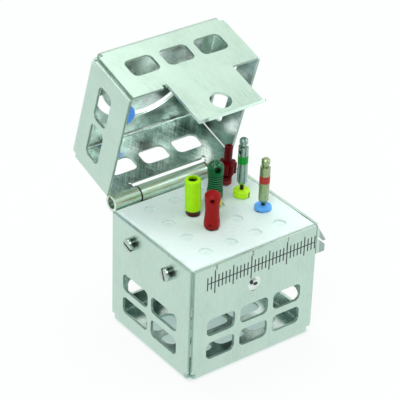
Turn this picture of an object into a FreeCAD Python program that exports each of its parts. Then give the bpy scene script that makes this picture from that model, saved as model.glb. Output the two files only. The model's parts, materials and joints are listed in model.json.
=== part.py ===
"""Endodontic file box: a small slotted stainless steel box whose lid turns on a rolled hinge.

Millimetres. The origin is the centre of the base's underside, X runs along the front to the right,
Y runs from the front to the hinge and Z is up. Everything stands as the photograph shows it:
the lid is thrown back and six root canal instruments stand in the soft block.
"""
import FreeCAD, Part
import math
import os
import Sketcher

SIZES = [
    # Folded base
    ("box_width", 35.5, "outside, left to right"),
    ("box_depth", 31.0, "outside, front to back"),
    ("base_height", 29.4, "underside to rim"),
    ("sheet_gauge", 0.7, "thickness of the sheet"),
    ("bend_radius", 0.7, "inside radius of every bend"),
    ("corner_gap", 0.85, "from a wall's end to the corner it would meet"),
    ("corner_relief", 1.9, "side of the square relief where two bends meet"),
    ("relief_height", 2.1, "height of that relief"),
    ("back_wall_height", 28.0, "back wall beside the middle knuckle"),
    # Windows of the base
    ("window_columns", 3, "windows along the front and the back"),
    ("window_rows", 2, "rows of windows in a wall"),
    ("window_width", 7.8, "front and back"),
    ("window_height", 4.5, "front, back and sides"),
    ("window_pitch", 9.3, "centre to centre, front and back"),
    ("window_rise", 6.25, "centre to centre, upwards"),
    ("window_low", 6.88, "centre of the lower row"),
    ("window_corner", 1.3, "corner radius"),
    ("side_columns", 2, "windows along each side"),
    ("side_window_width", 9.75, "sides"),
    ("side_window_pitch", 11.05, "centre to centre, sides"),
    ("floor_columns", 3, "floor windows, left to right"),
    ("floor_rows", 3, "floor windows, front to back"),
    ("floor_window_width", 8.3, "along X"),
    ("floor_window_depth", 4.6, "along Y"),
    ("floor_window_corner", 2.0, "corner radius"),
    ("floor_pitch_across", 9.3, "along X"),
    ("floor_pitch_deep", 6.2, "along Y"),
    # Two lugs folded out of the right wall's front edge
    ("lug_reach", 2.05, "upper lug, beyond the side wall"),
    ("lug_tip_drop", 4.7, "upper lug, its tip below the rim"),
    ("lug_tip_width", 0.8, "upper lug, its blunt tip"),
    ("lug_notch_drop", 3.1, "top of the notch below the rim"),
    ("lug_notch_gap", 0.5, "width of the notch at its root"),
    ("lower_lug_reach", 1.85, "lower lug, beyond the side wall"),
    ("lower_lug_slope", 2.2, "fall of the lower lug's top edge"),
    ("lower_lug_drop", 7.6, "lower lug's bottom edge below the rim"),
    # Hinge
    ("pin_radius", 1.25, "hinge pin"),
    ("pin_clearance", 0.05, "radial, in the knuckles"),
    ("pin_length", 31.0, "it stops short of the outer knuckles' ends"),
    ("middle_knuckle", 18.8, "length of the base's knuckle"),
    ("knuckle_gap", 0.2, "between neighbouring knuckles"),
    ("barrel_length", 33.4, "over all three knuckles"),
    ("seam_angle", 60.0, "left open where a knuckle's roll ends"),
    ("rim_gap", 1.6, "between the rims with the lid level"),
    ("open_angle", 73.3, "lid as photographed, from level"),
    # Lid
    ("lid_height", 15.7, "rim to top"),
    ("lid_window_low", 7.9, "centre of the front windows above the lid's rim"),
    ("lid_window_width", 7.3, "front and rear"),
    ("lid_window_height", 5.3, "front"),
    ("lid_window_corner", 1.5, "corner radius"),
    ("lid_rear_window_height", 4.5, "rear"),
    ("lid_rear_window_low", 7.0, "centre of the rear windows above the lid's rim"),
    ("lid_side_window_width", 9.7, "sides"),
    ("lid_side_window_height", 5.0, "sides"),
    ("lid_side_window_low", 8.1, "centre of the side windows above the lid's rim"),
    ("hinge_cut_margin", 1.0, "rear cut-out, beyond the middle knuckle on each side"),
    ("hinge_cut_height", 1.5, "rear cut-out, above the lid's rim"),
    ("cut_corner_hole", 0.5, "radius of the relief holes of that cut-out"),
    ("tongue_centre", -5.5, "centre of the curved slot, in Y with the lid shut"),
    ("tongue_radius", 12.9, "inner edge of the curved slot"),
    ("tongue_slot", 2.0, "width of the curved slot"),
    ("tongue_end_angle", 20.0, "each end of the slot, behind the left and right"),
    ("tongue_end_radius", 1.05, "rounded ends of the slot"),
    ("top_hole_radius", 0.5, "two small holes beside the tab's root"),
    ("top_hole_spacing", 12.9, "between those holes"),
    ("top_hole_inset", 2.0, "those holes from the front face"),
    # Snap tab and the stud that it springs over
    ("tab_width", 17.2, "snap tab"),
    ("tab_gap", 0.55, "between the tab and the front wall, lid level"),
    ("tab_joggle", 1.0, "height over which the tab steps out"),
    ("tab_root", 0.75, "start of that step above the lid's rim"),
    ("tab_relief", 0.25, "slits beside the tab's root"),
    ("tab_drop", 12.6, "from the lid's rim to the tab's lip"),
    ("tab_lip", 2.0, "length of the lip"),
    ("tab_lip_angle", 50.0, "lip, outwards"),
    ("tab_corner", 1.2, "corner radius of the lip"),
    ("tab_hole_drop", 9.1, "hole's centre below the lid's rim"),
    ("tab_hole_left", 0.3, "hole and stud, left of the middle"),
    ("tab_hole_radius", 2.5, "hole for the stud"),
    ("stud_radius", 1.8, "dome of the stud"),
    ("stud_height", 0.62, "dome of the stud"),
    ("stud_drop", 9.05, "centre of the stud below the base's rim"),
    ("stud_shank_radius", 0.9, "shank of the stud"),
    # Soft block and its screws
    ("block_clearance", 0.1, "between the block and the walls"),
    ("block_height", 10.15, "of the whole block"),
    ("block_proud", 0.35, "its top above the base's rim"),
    ("block_edge", 0.7, "rounding of its upper edges"),
    ("hole_count", 4, "places for instruments, each way"),
    ("hole_pitch", 6.9, "centre to centre"),
    ("dimple_radius", 1.5, "place for an instrument"),
    ("dimple_depth", 0.4, "place for an instrument"),
    ("pierce_clearance", 0.05, "radial, round an instrument's shaft"),
    ("screw_spread", 14.0, "between the screws of a side wall"),
    ("screw_drop", 4.4, "screws below the rim"),
    ("screw_head_radius", 1.6, "cheese head"),
    ("screw_head_height", 1.5, "cheese head"),
    ("screw_head_round", 0.35, "cheese head's edge"),
    ("screw_slot", 0.55, "width of the slot"),
    ("screw_slot_depth", 0.7, "depth of the slot"),
    ("screw_radius", 0.9, "shank"),
    ("screw_length", 4.0, "shank, from under the head"),
    ("screw_clearance", 0.05, "radial, in the wall and the block"),
    # Marker button seated in the lid's curved slot
    ("marker_angle", 22.0, "from the middle of the slot towards the left"),
    ("marker_radius", 2.9, "head inside the lid"),
    ("marker_height", 1.3, "head inside the lid"),
    ("marker_neck_gap", 0.1, "between its neck and the slot's edge"),
    ("marker_cap_radius", 1.7, "cap outside the lid"),
    ("marker_cap_height", 0.8, "cap outside the lid"),
    # Instruments' shafts
    ("file_radius", 0.45, "file shaft below its handle"),
    ("file_tip_radius", 0.15, "at the tip"),
    ("file_length", 21.0, "below the block's top"),
    ("file_plug", 3.0, "length held inside the handle"),
    ("drill_radius", 0.45, "drill shaft"),
    ("drill_tip_radius", 0.2, "at the tip"),
    ("drill_length", 20.0, "below the block's top"),
    ("plug_clearance", 0.02, "radial, round a shaft in its handle, ring or stop"),
    # Yellow file
    ("yellow_radius", 1.85, "handle"),
    ("yellow_top", 9.05, "above the block"),
    ("yellow_round", 0.45, "upper edge"),
    ("yellow_recess_radius", 1.1, "in the top"),
    ("yellow_recess_depth", 1.2, "in the top"),
    ("yellow_ring_radius", 1.65, "brown ring under the handle"),
    ("yellow_ring_height", 1.2, "brown ring under the handle"),
    ("yellow_right", 0.2, "off its place, to the right"),
    ("yellow_back", 0.5, "off its place, to the rear"),
    ("yellow_lean", -2.0, "to the left"),
    # Red file
    ("red_radius", 1.8, "handle's ends"),
    ("red_waist", 1.6, "handle's waist"),
    ("red_top", 9.35, "above the block"),
    ("red_foot_height", 1.7, "below the waist"),
    ("red_head_height", 2.3, "above the waist"),
    ("red_foot_round", 0.6, "lower edge"),
    ("red_dome", 1.0, "height of the domed top"),
    ("red_hole_radius", 0.52, "cross hole"),
    ("red_hole_drop", 1.75, "cross hole below the top"),
    ("red_right", 0.2, "off its place, to the right"),
    ("red_back", 0.4, "off its place, to the rear"),
    # Green file
    ("green_radius", 1.87, "handle's ends"),
    ("green_waist", 1.66, "ribbed waist"),
    ("green_top", 11.5, "above the block"),
    ("green_foot", 1.9, "underside of the handle above the block"),
    ("green_foot_height", 1.9, "below the waist"),
    ("green_head_height", 2.9, "above the waist"),
    ("green_dome", 1.5, "height of the domed top"),
    ("green_rib_count", 7, "grooves round the waist"),
    ("green_rib_pitch", 0.6, "between the grooves"),
    ("green_rib_depth", 0.14, "depth of a groove"),
    ("green_rib_width", 0.26, "width of a groove"),
    ("green_hole_radius", 0.6, "cross hole"),
    ("green_hole_drop", 1.85, "cross hole below the top"),
    ("green_right", -0.55, "off its place, to the right"),
    ("green_back", 0.65, "off its place, to the rear"),
    ("green_stop_radius", 1.7, "stop under the handle"),
    ("green_stop_height", 1.5, "stop under the handle"),
    # Dark red file
    ("dark_radius", 1.0, "column"),
    ("dark_top", 9.7, "above the block"),
    ("dark_recess_radius", 0.5, "in the top"),
    ("dark_recess_depth", 0.8, "in the top"),
    ("dark_collar_radius", 1.6, "collar between its lobes"),
    ("dark_collar_height", 2.5, "collar"),
    ("dark_collar_low", 2.9, "underside of the collar above the block"),
    ("dark_lobe_count", 8, "lobes of the collar"),
    ("dark_lobe_radius", 0.65, "one lobe"),
    ("dark_base_radius", 1.4, "foot"),
    ("dark_base_height", 1.9, "top of the foot above the block"),
    ("dark_ring_height", 0.9, "lighter ring under the foot"),
    ("dark_lean", 3.6, "to the right"),
    ("dark_right", 0.45, "off its place, to the right"),
    # Latch type drills
    ("latch_radius", 1.175, "shank"),
    ("latch_groove_radius", 0.7, "groove near the end"),
    ("latch_head_radius", 0.98, "end beyond the groove"),
    ("latch_groove_width", 0.8, "groove near the end"),
    ("latch_head", 1.2, "from the end to the groove"),
    ("latch_flat", 0.35, "depth of the driving flat"),
    ("latch_chamfer", 0.3, "at the end"),
    ("shank_shoulder", 0.6, "chamfer at the lower end"),
    ("band_depth", 0.1, "seat of the colour band"),
    ("band_proud", 0.03, "band above the shank"),
    ("silver_low", 3.35, "shank's lower end above the block"),
    ("silver_top", 15.05, "shank's upper end above the block"),
    ("silver_band_low", 8.8, "band above the block"),
    ("silver_band_height", 1.95, "band"),
    ("silver_flat", 4.4, "length of the driving flat"),
    ("silver_stop_radius", 1.95, "stop"),
    ("silver_stop_height", 1.75, "stop"),
    ("silver_back", 0.3, "off its place, to the rear"),
    ("brass_low", 2.0, "shank's lower end above the block"),
    ("brass_top", 13.1, "shank's upper end above the block"),
    ("brass_band_low", 7.0, "band above the block"),
    ("brass_band_height", 1.8, "band"),
    ("brass_flat", 4.6, "length of the driving flat"),
    ("brass_stop_radius", 2.0, "stop"),
    ("brass_stop_height", 1.0, "stop"),
    ("brass_lean", 0.8, "to the right"),
    ("brass_right", 0.55, "off its place, to the right"),
    ("stop_round", 0.4, "rounded edges of the stops"),
]


class Term:
    """A number that carries the sheet formula it comes from."""

    def __init__(self, value, text):
        self.value = float(value)
        self.text = text

    def join(self, sign, other, value):
        return Term(value, "(%s %s %s)" % (self.text, sign, other.text))

    def __add__(self, other):
        other = term(other)
        return self.join("+", other, self.value + other.value)

    def __radd__(self, other):
        return term(other) + self

    def __sub__(self, other):
        other = term(other)
        return self.join("-", other, self.value - other.value)

    def __rsub__(self, other):
        return term(other) - self

    def __mul__(self, other):
        other = term(other)
        return self.join("*", other, self.value * other.value)

    def __rmul__(self, other):
        return term(other) * self

    def __truediv__(self, other):
        other = term(other)
        return self.join("/", other, self.value / other.value)

    def __neg__(self):
        return Term(-self.value, "(-1 * %s)" % self.text)


def term(number):
    """A plain number as a Term."""
    if isinstance(number, Term):
        return number
    return Term(number, repr(number))


def root(square):
    """Square root of a Term."""
    return Term(math.sqrt(square.value), "sqrt(%s)" % square.text)


def cosine(angle):
    """Cosine of a Term in degrees."""
    return Term(math.cos(math.radians(angle.value)), "cos(%s)" % angle.text)


def sine(angle):
    """Sine of a Term in degrees."""
    return Term(math.sin(math.radians(angle.value)), "sin(%s)" % angle.text)


class Sizes:
    """The sheet's values as Terms, one attribute each."""


doc = FreeCAD.newDocument("EndoFileBox")
sheet = doc.addObject("Spreadsheet::Sheet", "sizes")
S = Sizes()
for row, (alias, number, note) in enumerate(SIZES, start=1):
    sheet.set("A%d" % row, alias)
    sheet.set("B%d" % row, str(number))
    sheet.set("C%d" % row, note)
    sheet.setAlias("B%d" % row, alias)
    setattr(S, alias, Term(number, "sizes." + alias))
doc.recompute()

PARTS = []


def bind(thing, name, size):
    """Set a property from a Term, and tie it to the sheet."""
    size = term(size)
    if name.split(".")[0] in thing.PropertiesList and "." not in name:
        setattr(thing, name, size.value)
    if "sizes." in size.text:
        thing.setExpression(name, size.text)


def locate(thing, x=0, y=0, z=0, axis=(0, 0, 1), angle=0):
    """Give a sub-part its Placement, tied to the sheet."""
    x, y, z, angle = term(x), term(y), term(z), term(angle)
    turn = FreeCAD.Rotation(FreeCAD.Vector(*axis), angle.value)
    thing.Placement = FreeCAD.Placement(FreeCAD.Vector(x.value, y.value, z.value), turn)
    for name, size in (("x", x), ("y", y), ("z", z)):
        bind(thing, "Placement.Base." + name, size)
    bind(thing, "Placement.Rotation.Angle", angle)


def new_body(label):
    """A body that becomes one piece of the box."""
    body = doc.addObject("PartDesign::Body", label)
    body.Label = label
    PARTS.append(body)
    return body


def datum(body, role):
    """One of the body's own origin planes or axes."""
    return [item for item in body.Origin.OriginFeatures if item.Role == role][0]


def axis_of(body, letter):
    return (datum(body, letter + "_Axis"), [""])


def pin_down(sketch, geometry, point, x, y):
    """Fix a point of the sketch at sheet driven coordinates."""
    for kind, own_axis, size in (("DistanceX", -2, term(x)), ("DistanceY", -1, term(y))):
        if "sizes." not in size.text and size.value == 0:
            sketch.addConstraint(Sketcher.Constraint("PointOnObject", geometry, point, own_axis))
            continue
        number = sketch.addConstraint(
            Sketcher.Constraint(kind, -1, 1, geometry, point, size.value))
        tie(sketch, number, size)


def tie(sketch, number, size):
    if "sizes." in size.text:
        label = "size%d" % number
        sketch.renameConstraint(number, label)
        sketch.setExpression("Constraints." + label, size.text)


def draw(sketch, outline):
    """Draw a closed outline: points, each with the arc that leaves it or None for a line."""
    ends = []
    for index, (x, y, arc) in enumerate(outline):
        next_x, next_y, _ = outline[(index + 1) % len(outline)]
        here = FreeCAD.Vector(term(x).value, term(y).value, 0)
        there = FreeCAD.Vector(term(next_x).value, term(next_y).value, 0)
        if arc is None:
            number = sketch.addGeometry(Part.LineSegment(here, there), False)
            ends.append((number, 1, 2))
            continue
        centre_x, centre_y, radius, turns_left = arc
        centre = FreeCAD.Vector(term(centre_x).value, term(centre_y).value, 0)
        first = math.atan2(here.y - centre.y, here.x - centre.x)
        last = math.atan2(there.y - centre.y, there.x - centre.x)
        if not turns_left:
            first, last = last, first
        if last <= first:
            last += 2 * math.pi
        circle = Part.Circle(centre, FreeCAD.Vector(0, 0, 1), term(radius).value)
        number = sketch.addGeometry(Part.ArcOfCircle(circle, first, last), False)
        ends.append((number, 1, 2) if turns_left else (number, 2, 1))
        held = sketch.addConstraint(Sketcher.Constraint("Radius", number, term(radius).value))
        tie(sketch, held, term(radius))
    for index, (x, y, arc) in enumerate(outline):
        number, start, end = ends[index]
        following, next_start, _ = ends[(index + 1) % len(ends)]
        sketch.addConstraint(Sketcher.Constraint("Coincident", number, end, following, next_start))
        pin_down(sketch, number, start, x, y)


def ring(sketch, x, y, radius):
    """Draw a circle."""
    x, y, radius = term(x), term(y), term(radius)
    circle = Part.Circle(FreeCAD.Vector(x.value, y.value, 0), FreeCAD.Vector(0, 0, 1), radius.value)
    number = sketch.addGeometry(circle, False)
    held = sketch.addConstraint(Sketcher.Constraint("Radius", number, radius.value))
    tie(sketch, held, radius)
    pin_down(sketch, number, 3, x, y)


def new_sketch(body, name, role, outlines=(), circles=(), lift=0):
    """A sketch on one of the body's origin planes, lifted along the plane's normal."""
    sketch = body.newObject("Sketcher::SketchObject", name)
    sketch.AttachmentSupport = [(datum(body, role), "")]
    sketch.MapMode = "FlatFace"
    lift = term(lift)
    base = FreeCAD.Vector(0, 0, lift.value)
    sketch.AttachmentOffset = FreeCAD.Placement(base, FreeCAD.Rotation())
    if "sizes." in lift.text:
        sketch.setExpression("AttachmentOffset.Base.z", lift.text)
    for outline in outlines:
        draw(sketch, outline)
    for circle in circles:
        ring(sketch, *circle)
    return sketch


def tilt(sketch, x, y, z, lean):
    """Move a sketch to a point and lean its normal to the right."""
    lean = term(lean)
    turned = FreeCAD.Rotation(FreeCAD.Vector(0, 1, 0), lean.value)
    base = FreeCAD.Vector(x.value, y.value, z.value)
    sketch.AttachmentOffset = FreeCAD.Placement(base, turned)
    for name, size in (("Base.x", x), ("Base.y", y), ("Base.z", z), ("Rotation.Angle", lean)):
        bind(sketch, "AttachmentOffset." + name, size)


def signum(number):
    return (number > 1e-9) - (number < -1e-9)


def square(points):
    """An outline whose lines run along the two axes, each corner rounded where it has a radius."""
    outline = []
    for index, (x, y, radius) in enumerate(points):
        x, y = term(x), term(y)
        before = points[index - 1]
        after = points[(index + 1) % len(points)]
        if radius is None:
            outline.append((x, y, None))
            continue
        back = [signum(term(before[k]).value - (x, y)[k].value) for k in (0, 1)]
        ahead = [signum(term(after[k]).value - (x, y)[k].value) for k in (0, 1)]
        turns_left = back[0] * ahead[1] - back[1] * ahead[0] < 0
        middle_x = x + radius * (back[0] + ahead[0])
        middle_y = y + radius * (back[1] + ahead[1])
        outline.append((x + radius * back[0] if back[0] else x,
                        y + radius * back[1] if back[1] else y,
                        (middle_x, middle_y, radius, turns_left)))
        outline.append((x + radius * ahead[0] if ahead[0] else x,
                        y + radius * ahead[1] if ahead[1] else y, None))
    return outline


def window(x, y, width, height, radius):
    """A rectangle with rounded corners about a centre."""
    left, right = term(x) - width / 2, term(x) + width / 2
    low, high = term(y) - height / 2, term(y) + height / 2
    return square([(left, low, radius), (right, low, radius),
                   (right, high, radius), (left, high, radius)])


def strip(left, right, low, high):
    """A plain rectangle between four coordinates."""
    return square([(left, low, None), (right, low, None), (right, high, None), (left, high, None)])


def finish(body, feature):
    """Make a feature the body's last one, and see that it was built."""
    body.Tip = feature
    doc.recompute()
    if "Invalid" in feature.State or "Error" in feature.State:
        raise RuntimeError("%s in %s: %s" % (feature.Name, body.Label, feature.getStatusString()))
    return feature


def pad(body, name, sketch, length, both_ways=False):
    feature = body.newObject("PartDesign::Pad", name)
    feature.Profile = sketch
    bind(feature, "Length", length)
    if both_ways:
        feature.SideType = "Symmetric"
    return finish(body, feature)


def pocket(body, name, sketch, length=None, both_ways=True, backwards=False):
    """Cut a sketch away, right through where no length is given; the volume must fall."""
    before = body.Shape.Volume
    feature = body.newObject("PartDesign::Pocket", name)
    feature.Profile = sketch
    if length is None:
        feature.Type = "ThroughAll"
    else:
        bind(feature, "Length", length)
    if both_ways:
        feature.SideType = "Symmetric"
    feature.Reversed = backwards
    finish(body, feature)
    if body.Shape.Volume > before - 1e-6:
        raise RuntimeError("%s cuts nothing" % name)
    return feature


def turn(body, name, outline, cut=False):
    """Turn an outline of radii and heights about the body's Z axis."""
    before = body.Shape.Volume if cut else 0
    sketch = new_sketch(body, name + "_outline", "XZ_Plane", [outline])
    kind = "PartDesign::Groove" if cut else "PartDesign::Revolution"
    feature = body.newObject(kind, name)
    feature.Profile = sketch
    feature.ReferenceAxis = (sketch, ["V_Axis"])
    feature.Angle = 360
    finish(body, feature)
    if cut and body.Shape.Volume > before - 1e-6:
        raise RuntimeError("%s cuts nothing" % name)
    return feature


def round_edges(body, name, edges, radius):
    """Round some edges of the body's last feature."""
    base = body.Tip
    feature = body.newObject("PartDesign::Fillet", name)
    feature.Base = (base, edges)
    bind(feature, "Radius", radius)
    return finish(body, feature)


def repeat(body, name, feature, axis, count, pitch):
    """Repeat a feature along one of the body's axes."""
    pattern = body.newObject("PartDesign::LinearPattern", name)
    pattern.Originals = [feature]
    pattern.Direction = axis_of(body, axis)
    pattern.Mode = "Spacing"
    bind(pattern, "Offset", pitch)
    pattern.Occurrences = int(count.value)
    pattern.setExpression("Occurrences", count.text)
    return finish(body, pattern)


def first_of(count, pitch):
    """Where a centred row of equal steps starts."""
    return -((count - 1) * pitch) / 2


def steps(start, pitch, count):
    """Evenly stepped places from a start."""
    return [start + number * pitch for number in range(int(count.value))]


HALF_WIDTH = S.box_width / 2
HALF_DEPTH = S.box_depth / 2
OUTER_BEND = S.bend_radius + S.sheet_gauge
WALL_END_X = HALF_WIDTH - S.corner_gap
WALL_END_Y = HALF_DEPTH - S.corner_gap
FOLD_WIDTH = S.box_width - 2 * S.corner_relief
FOLD_DEPTH = S.box_depth - 2 * S.corner_relief
STUB = S.relief_height + S.sheet_gauge

# A knuckle is the sheet rolled round the pin, and its outside touches the wall's inner face plane
BORE = S.pin_radius + S.pin_clearance
KNUCKLE = BORE + S.sheet_gauge
HINGE_Y = HALF_DEPTH + BORE
HINGE_Z = S.base_height + S.rim_gap / 2
SIDE_KNUCKLE = (S.barrel_length - S.middle_knuckle) / 2 - S.knuckle_gap
STUD_Z = S.base_height - S.stud_drop
SCREW_Z = S.base_height - S.screw_drop
BLOCK_TOP = S.base_height + S.block_proud
BLOCK_LOW = BLOCK_TOP - S.block_height


def channel(left, right, outside, inside, mouth):
    """Section of a sheet with two bends: left and right faces, the web's two faces, and the mouth."""
    return square([
        (left, mouth, None), (left, outside, OUTER_BEND), (right, outside, OUTER_BEND),
        (right, mouth, None), (right - S.sheet_gauge, mouth, None),
        (right - S.sheet_gauge, inside, S.bend_radius),
        (left + S.sheet_gauge, inside, S.bend_radius), (left + S.sheet_gauge, mouth, None)])


def roll(wall_y, axis_y, axis_z, foot_z, upwards):
    """Section of a knuckle: the wall's sheet rolled round the pin as far as the open seam.

    The base's sheet comes from below and rolls over the top; the lid's comes from above.
    """
    side = 1 if upwards else -1
    end = 180 - S.seam_angle
    out_y = axis_y + KNUCKLE * cosine(end)
    out_z = axis_z - side * KNUCKLE * sine(end)
    in_y = axis_y + BORE * cosine(end)
    in_z = axis_z - side * BORE * sine(end)
    return [(wall_y, foot_z, None),
            (wall_y, axis_z, (axis_y, axis_z, KNUCKLE, not upwards)),
            (out_y, out_z, None),
            (in_y, in_z, (axis_y, axis_z, BORE, upwards)),
            (wall_y + S.sheet_gauge, axis_z, None),
            (wall_y + S.sheet_gauge, foot_z, None)]


def make_base():
    """The base: a floor, four walls with open corners, windows all round, a knuckle and two lugs."""
    body = new_body("base_shell")
    section = channel(-HALF_DEPTH, HALF_DEPTH, 0, S.sheet_gauge, STUB)
    sketch = new_sketch(body, "front_back_fold", "YZ_Plane", [section])
    pad(body, "floor_front_back", sketch, FOLD_WIDTH, both_ways=True)
    section = channel(-HALF_WIDTH, HALF_WIDTH, 0, S.sheet_gauge, STUB)
    sketch = new_sketch(body, "side_fold", "XZ_Plane", [section])
    pad(body, "floor_sides", sketch, FOLD_DEPTH, both_ways=True)

    walls = [strip(-WALL_END_X, WALL_END_X, -HALF_DEPTH, S.sheet_gauge - HALF_DEPTH),
             strip(-HALF_WIDTH, S.sheet_gauge - HALF_WIDTH, -WALL_END_Y, WALL_END_Y),
             strip(HALF_WIDTH - S.sheet_gauge, HALF_WIDTH, -WALL_END_Y, WALL_END_Y)]
    sketch = new_sketch(body, "wall_lines", "XY_Plane", walls, lift=S.relief_height)
    pad(body, "walls", sketch, S.base_height - S.relief_height)
    back = [strip(-WALL_END_X, WALL_END_X, HALF_DEPTH - S.sheet_gauge, HALF_DEPTH)]
    sketch = new_sketch(body, "back_wall_line", "XY_Plane", back, lift=S.relief_height)
    pad(body, "back_wall", sketch, S.back_wall_height - S.relief_height)

    curl = roll(HALF_DEPTH - S.sheet_gauge, HINGE_Y, HINGE_Z, S.back_wall_height - 1, True)
    sketch = new_sketch(body, "knuckle_section", "YZ_Plane", [curl])
    pad(body, "knuckle", sketch, S.middle_knuckle, both_ways=True)

    # Windows: one column of them is cut and then repeated across
    heights = steps(S.window_low, S.window_rise, S.window_rows)
    start = first_of(S.window_columns, S.window_pitch)
    column = [window(start, z, S.window_width, S.window_height, S.window_corner) for z in heights]
    sketch = new_sketch(body, "front_window_lines", "XZ_Plane", column)
    cut = pocket(body, "front_back_column", sketch)
    repeat(body, "front_back_windows", cut, "X", S.window_columns, S.window_pitch)
    start = first_of(S.side_columns, S.side_window_pitch)
    column = [window(start, z, S.side_window_width, S.window_height, S.window_corner)
              for z in heights]
    sketch = new_sketch(body, "side_window_lines", "YZ_Plane", column)
    cut = pocket(body, "side_column", sketch)
    repeat(body, "side_windows", cut, "Y", S.side_columns, S.side_window_pitch)
    start = first_of(S.floor_columns, S.floor_pitch_across)
    lines = steps(first_of(S.floor_rows, S.floor_pitch_deep), S.floor_pitch_deep, S.floor_rows)
    column = [window(start, y, S.floor_window_width, S.floor_window_depth, S.floor_window_corner)
              for y in lines]
    sketch = new_sketch(body, "floor_window_lines", "XY_Plane", column)
    cut = pocket(body, "floor_column", sketch, 4 * S.sheet_gauge)
    repeat(body, "floor_windows", cut, "X", S.floor_columns, S.floor_pitch_across)

    # Holes for the stud and for the screws that hold the block
    sketch = new_sketch(body, "stud_hole_line", "XZ_Plane",
                        circles=[(-S.tab_hole_left, STUD_Z, S.stud_shank_radius + S.pin_clearance)], lift=HALF_DEPTH)
    pocket(body, "stud_hole", sketch, 4 * S.sheet_gauge)
    places = [(side * S.screw_spread / 2, SCREW_Z, S.screw_radius + S.screw_clearance)
              for side in (-1, 1)]
    sketch = new_sketch(body, "screw_hole_line", "YZ_Plane", circles=places)
    pocket(body, "screw_holes", sketch)

    # Lugs folded out of the right wall's front edge, with a notch between them
    rim = S.base_height
    inner = HALF_WIDTH - S.sheet_gauge
    notch_x = HALF_WIDTH - S.sheet_gauge / 2
    tip_x = HALF_WIDTH + S.lug_reach
    low_x = HALF_WIDTH + S.lower_lug_reach
    low_top = rim - S.lug_notch_drop - S.lug_notch_gap
    lugs = [(inner, rim, None), (tip_x, rim - S.lug_tip_drop, None),
            (tip_x - S.lug_tip_width, rim - S.lug_tip_drop, None),
            (notch_x, rim - S.lug_notch_drop, None), (notch_x, low_top, None),
            (low_x, low_top - S.lower_lug_slope, None), (low_x, rim - S.lower_lug_drop, None),
            (inner, rim - S.lower_lug_drop, None)]
    sketch = new_sketch(body, "lug_outline", "XZ_Plane", [lugs], lift=HALF_DEPTH - S.sheet_gauge)
    pad(body, "lugs", sketch, S.sheet_gauge)
    fold = strip(inner, notch_x, rim - S.lower_lug_drop, rim - S.sheet_gauge)
    sketch = new_sketch(body, "lug_fold_line", "XZ_Plane", [fold], lift=WALL_END_Y)
    pad(body, "lug_fold", sketch, S.corner_gap)
    return body


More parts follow.
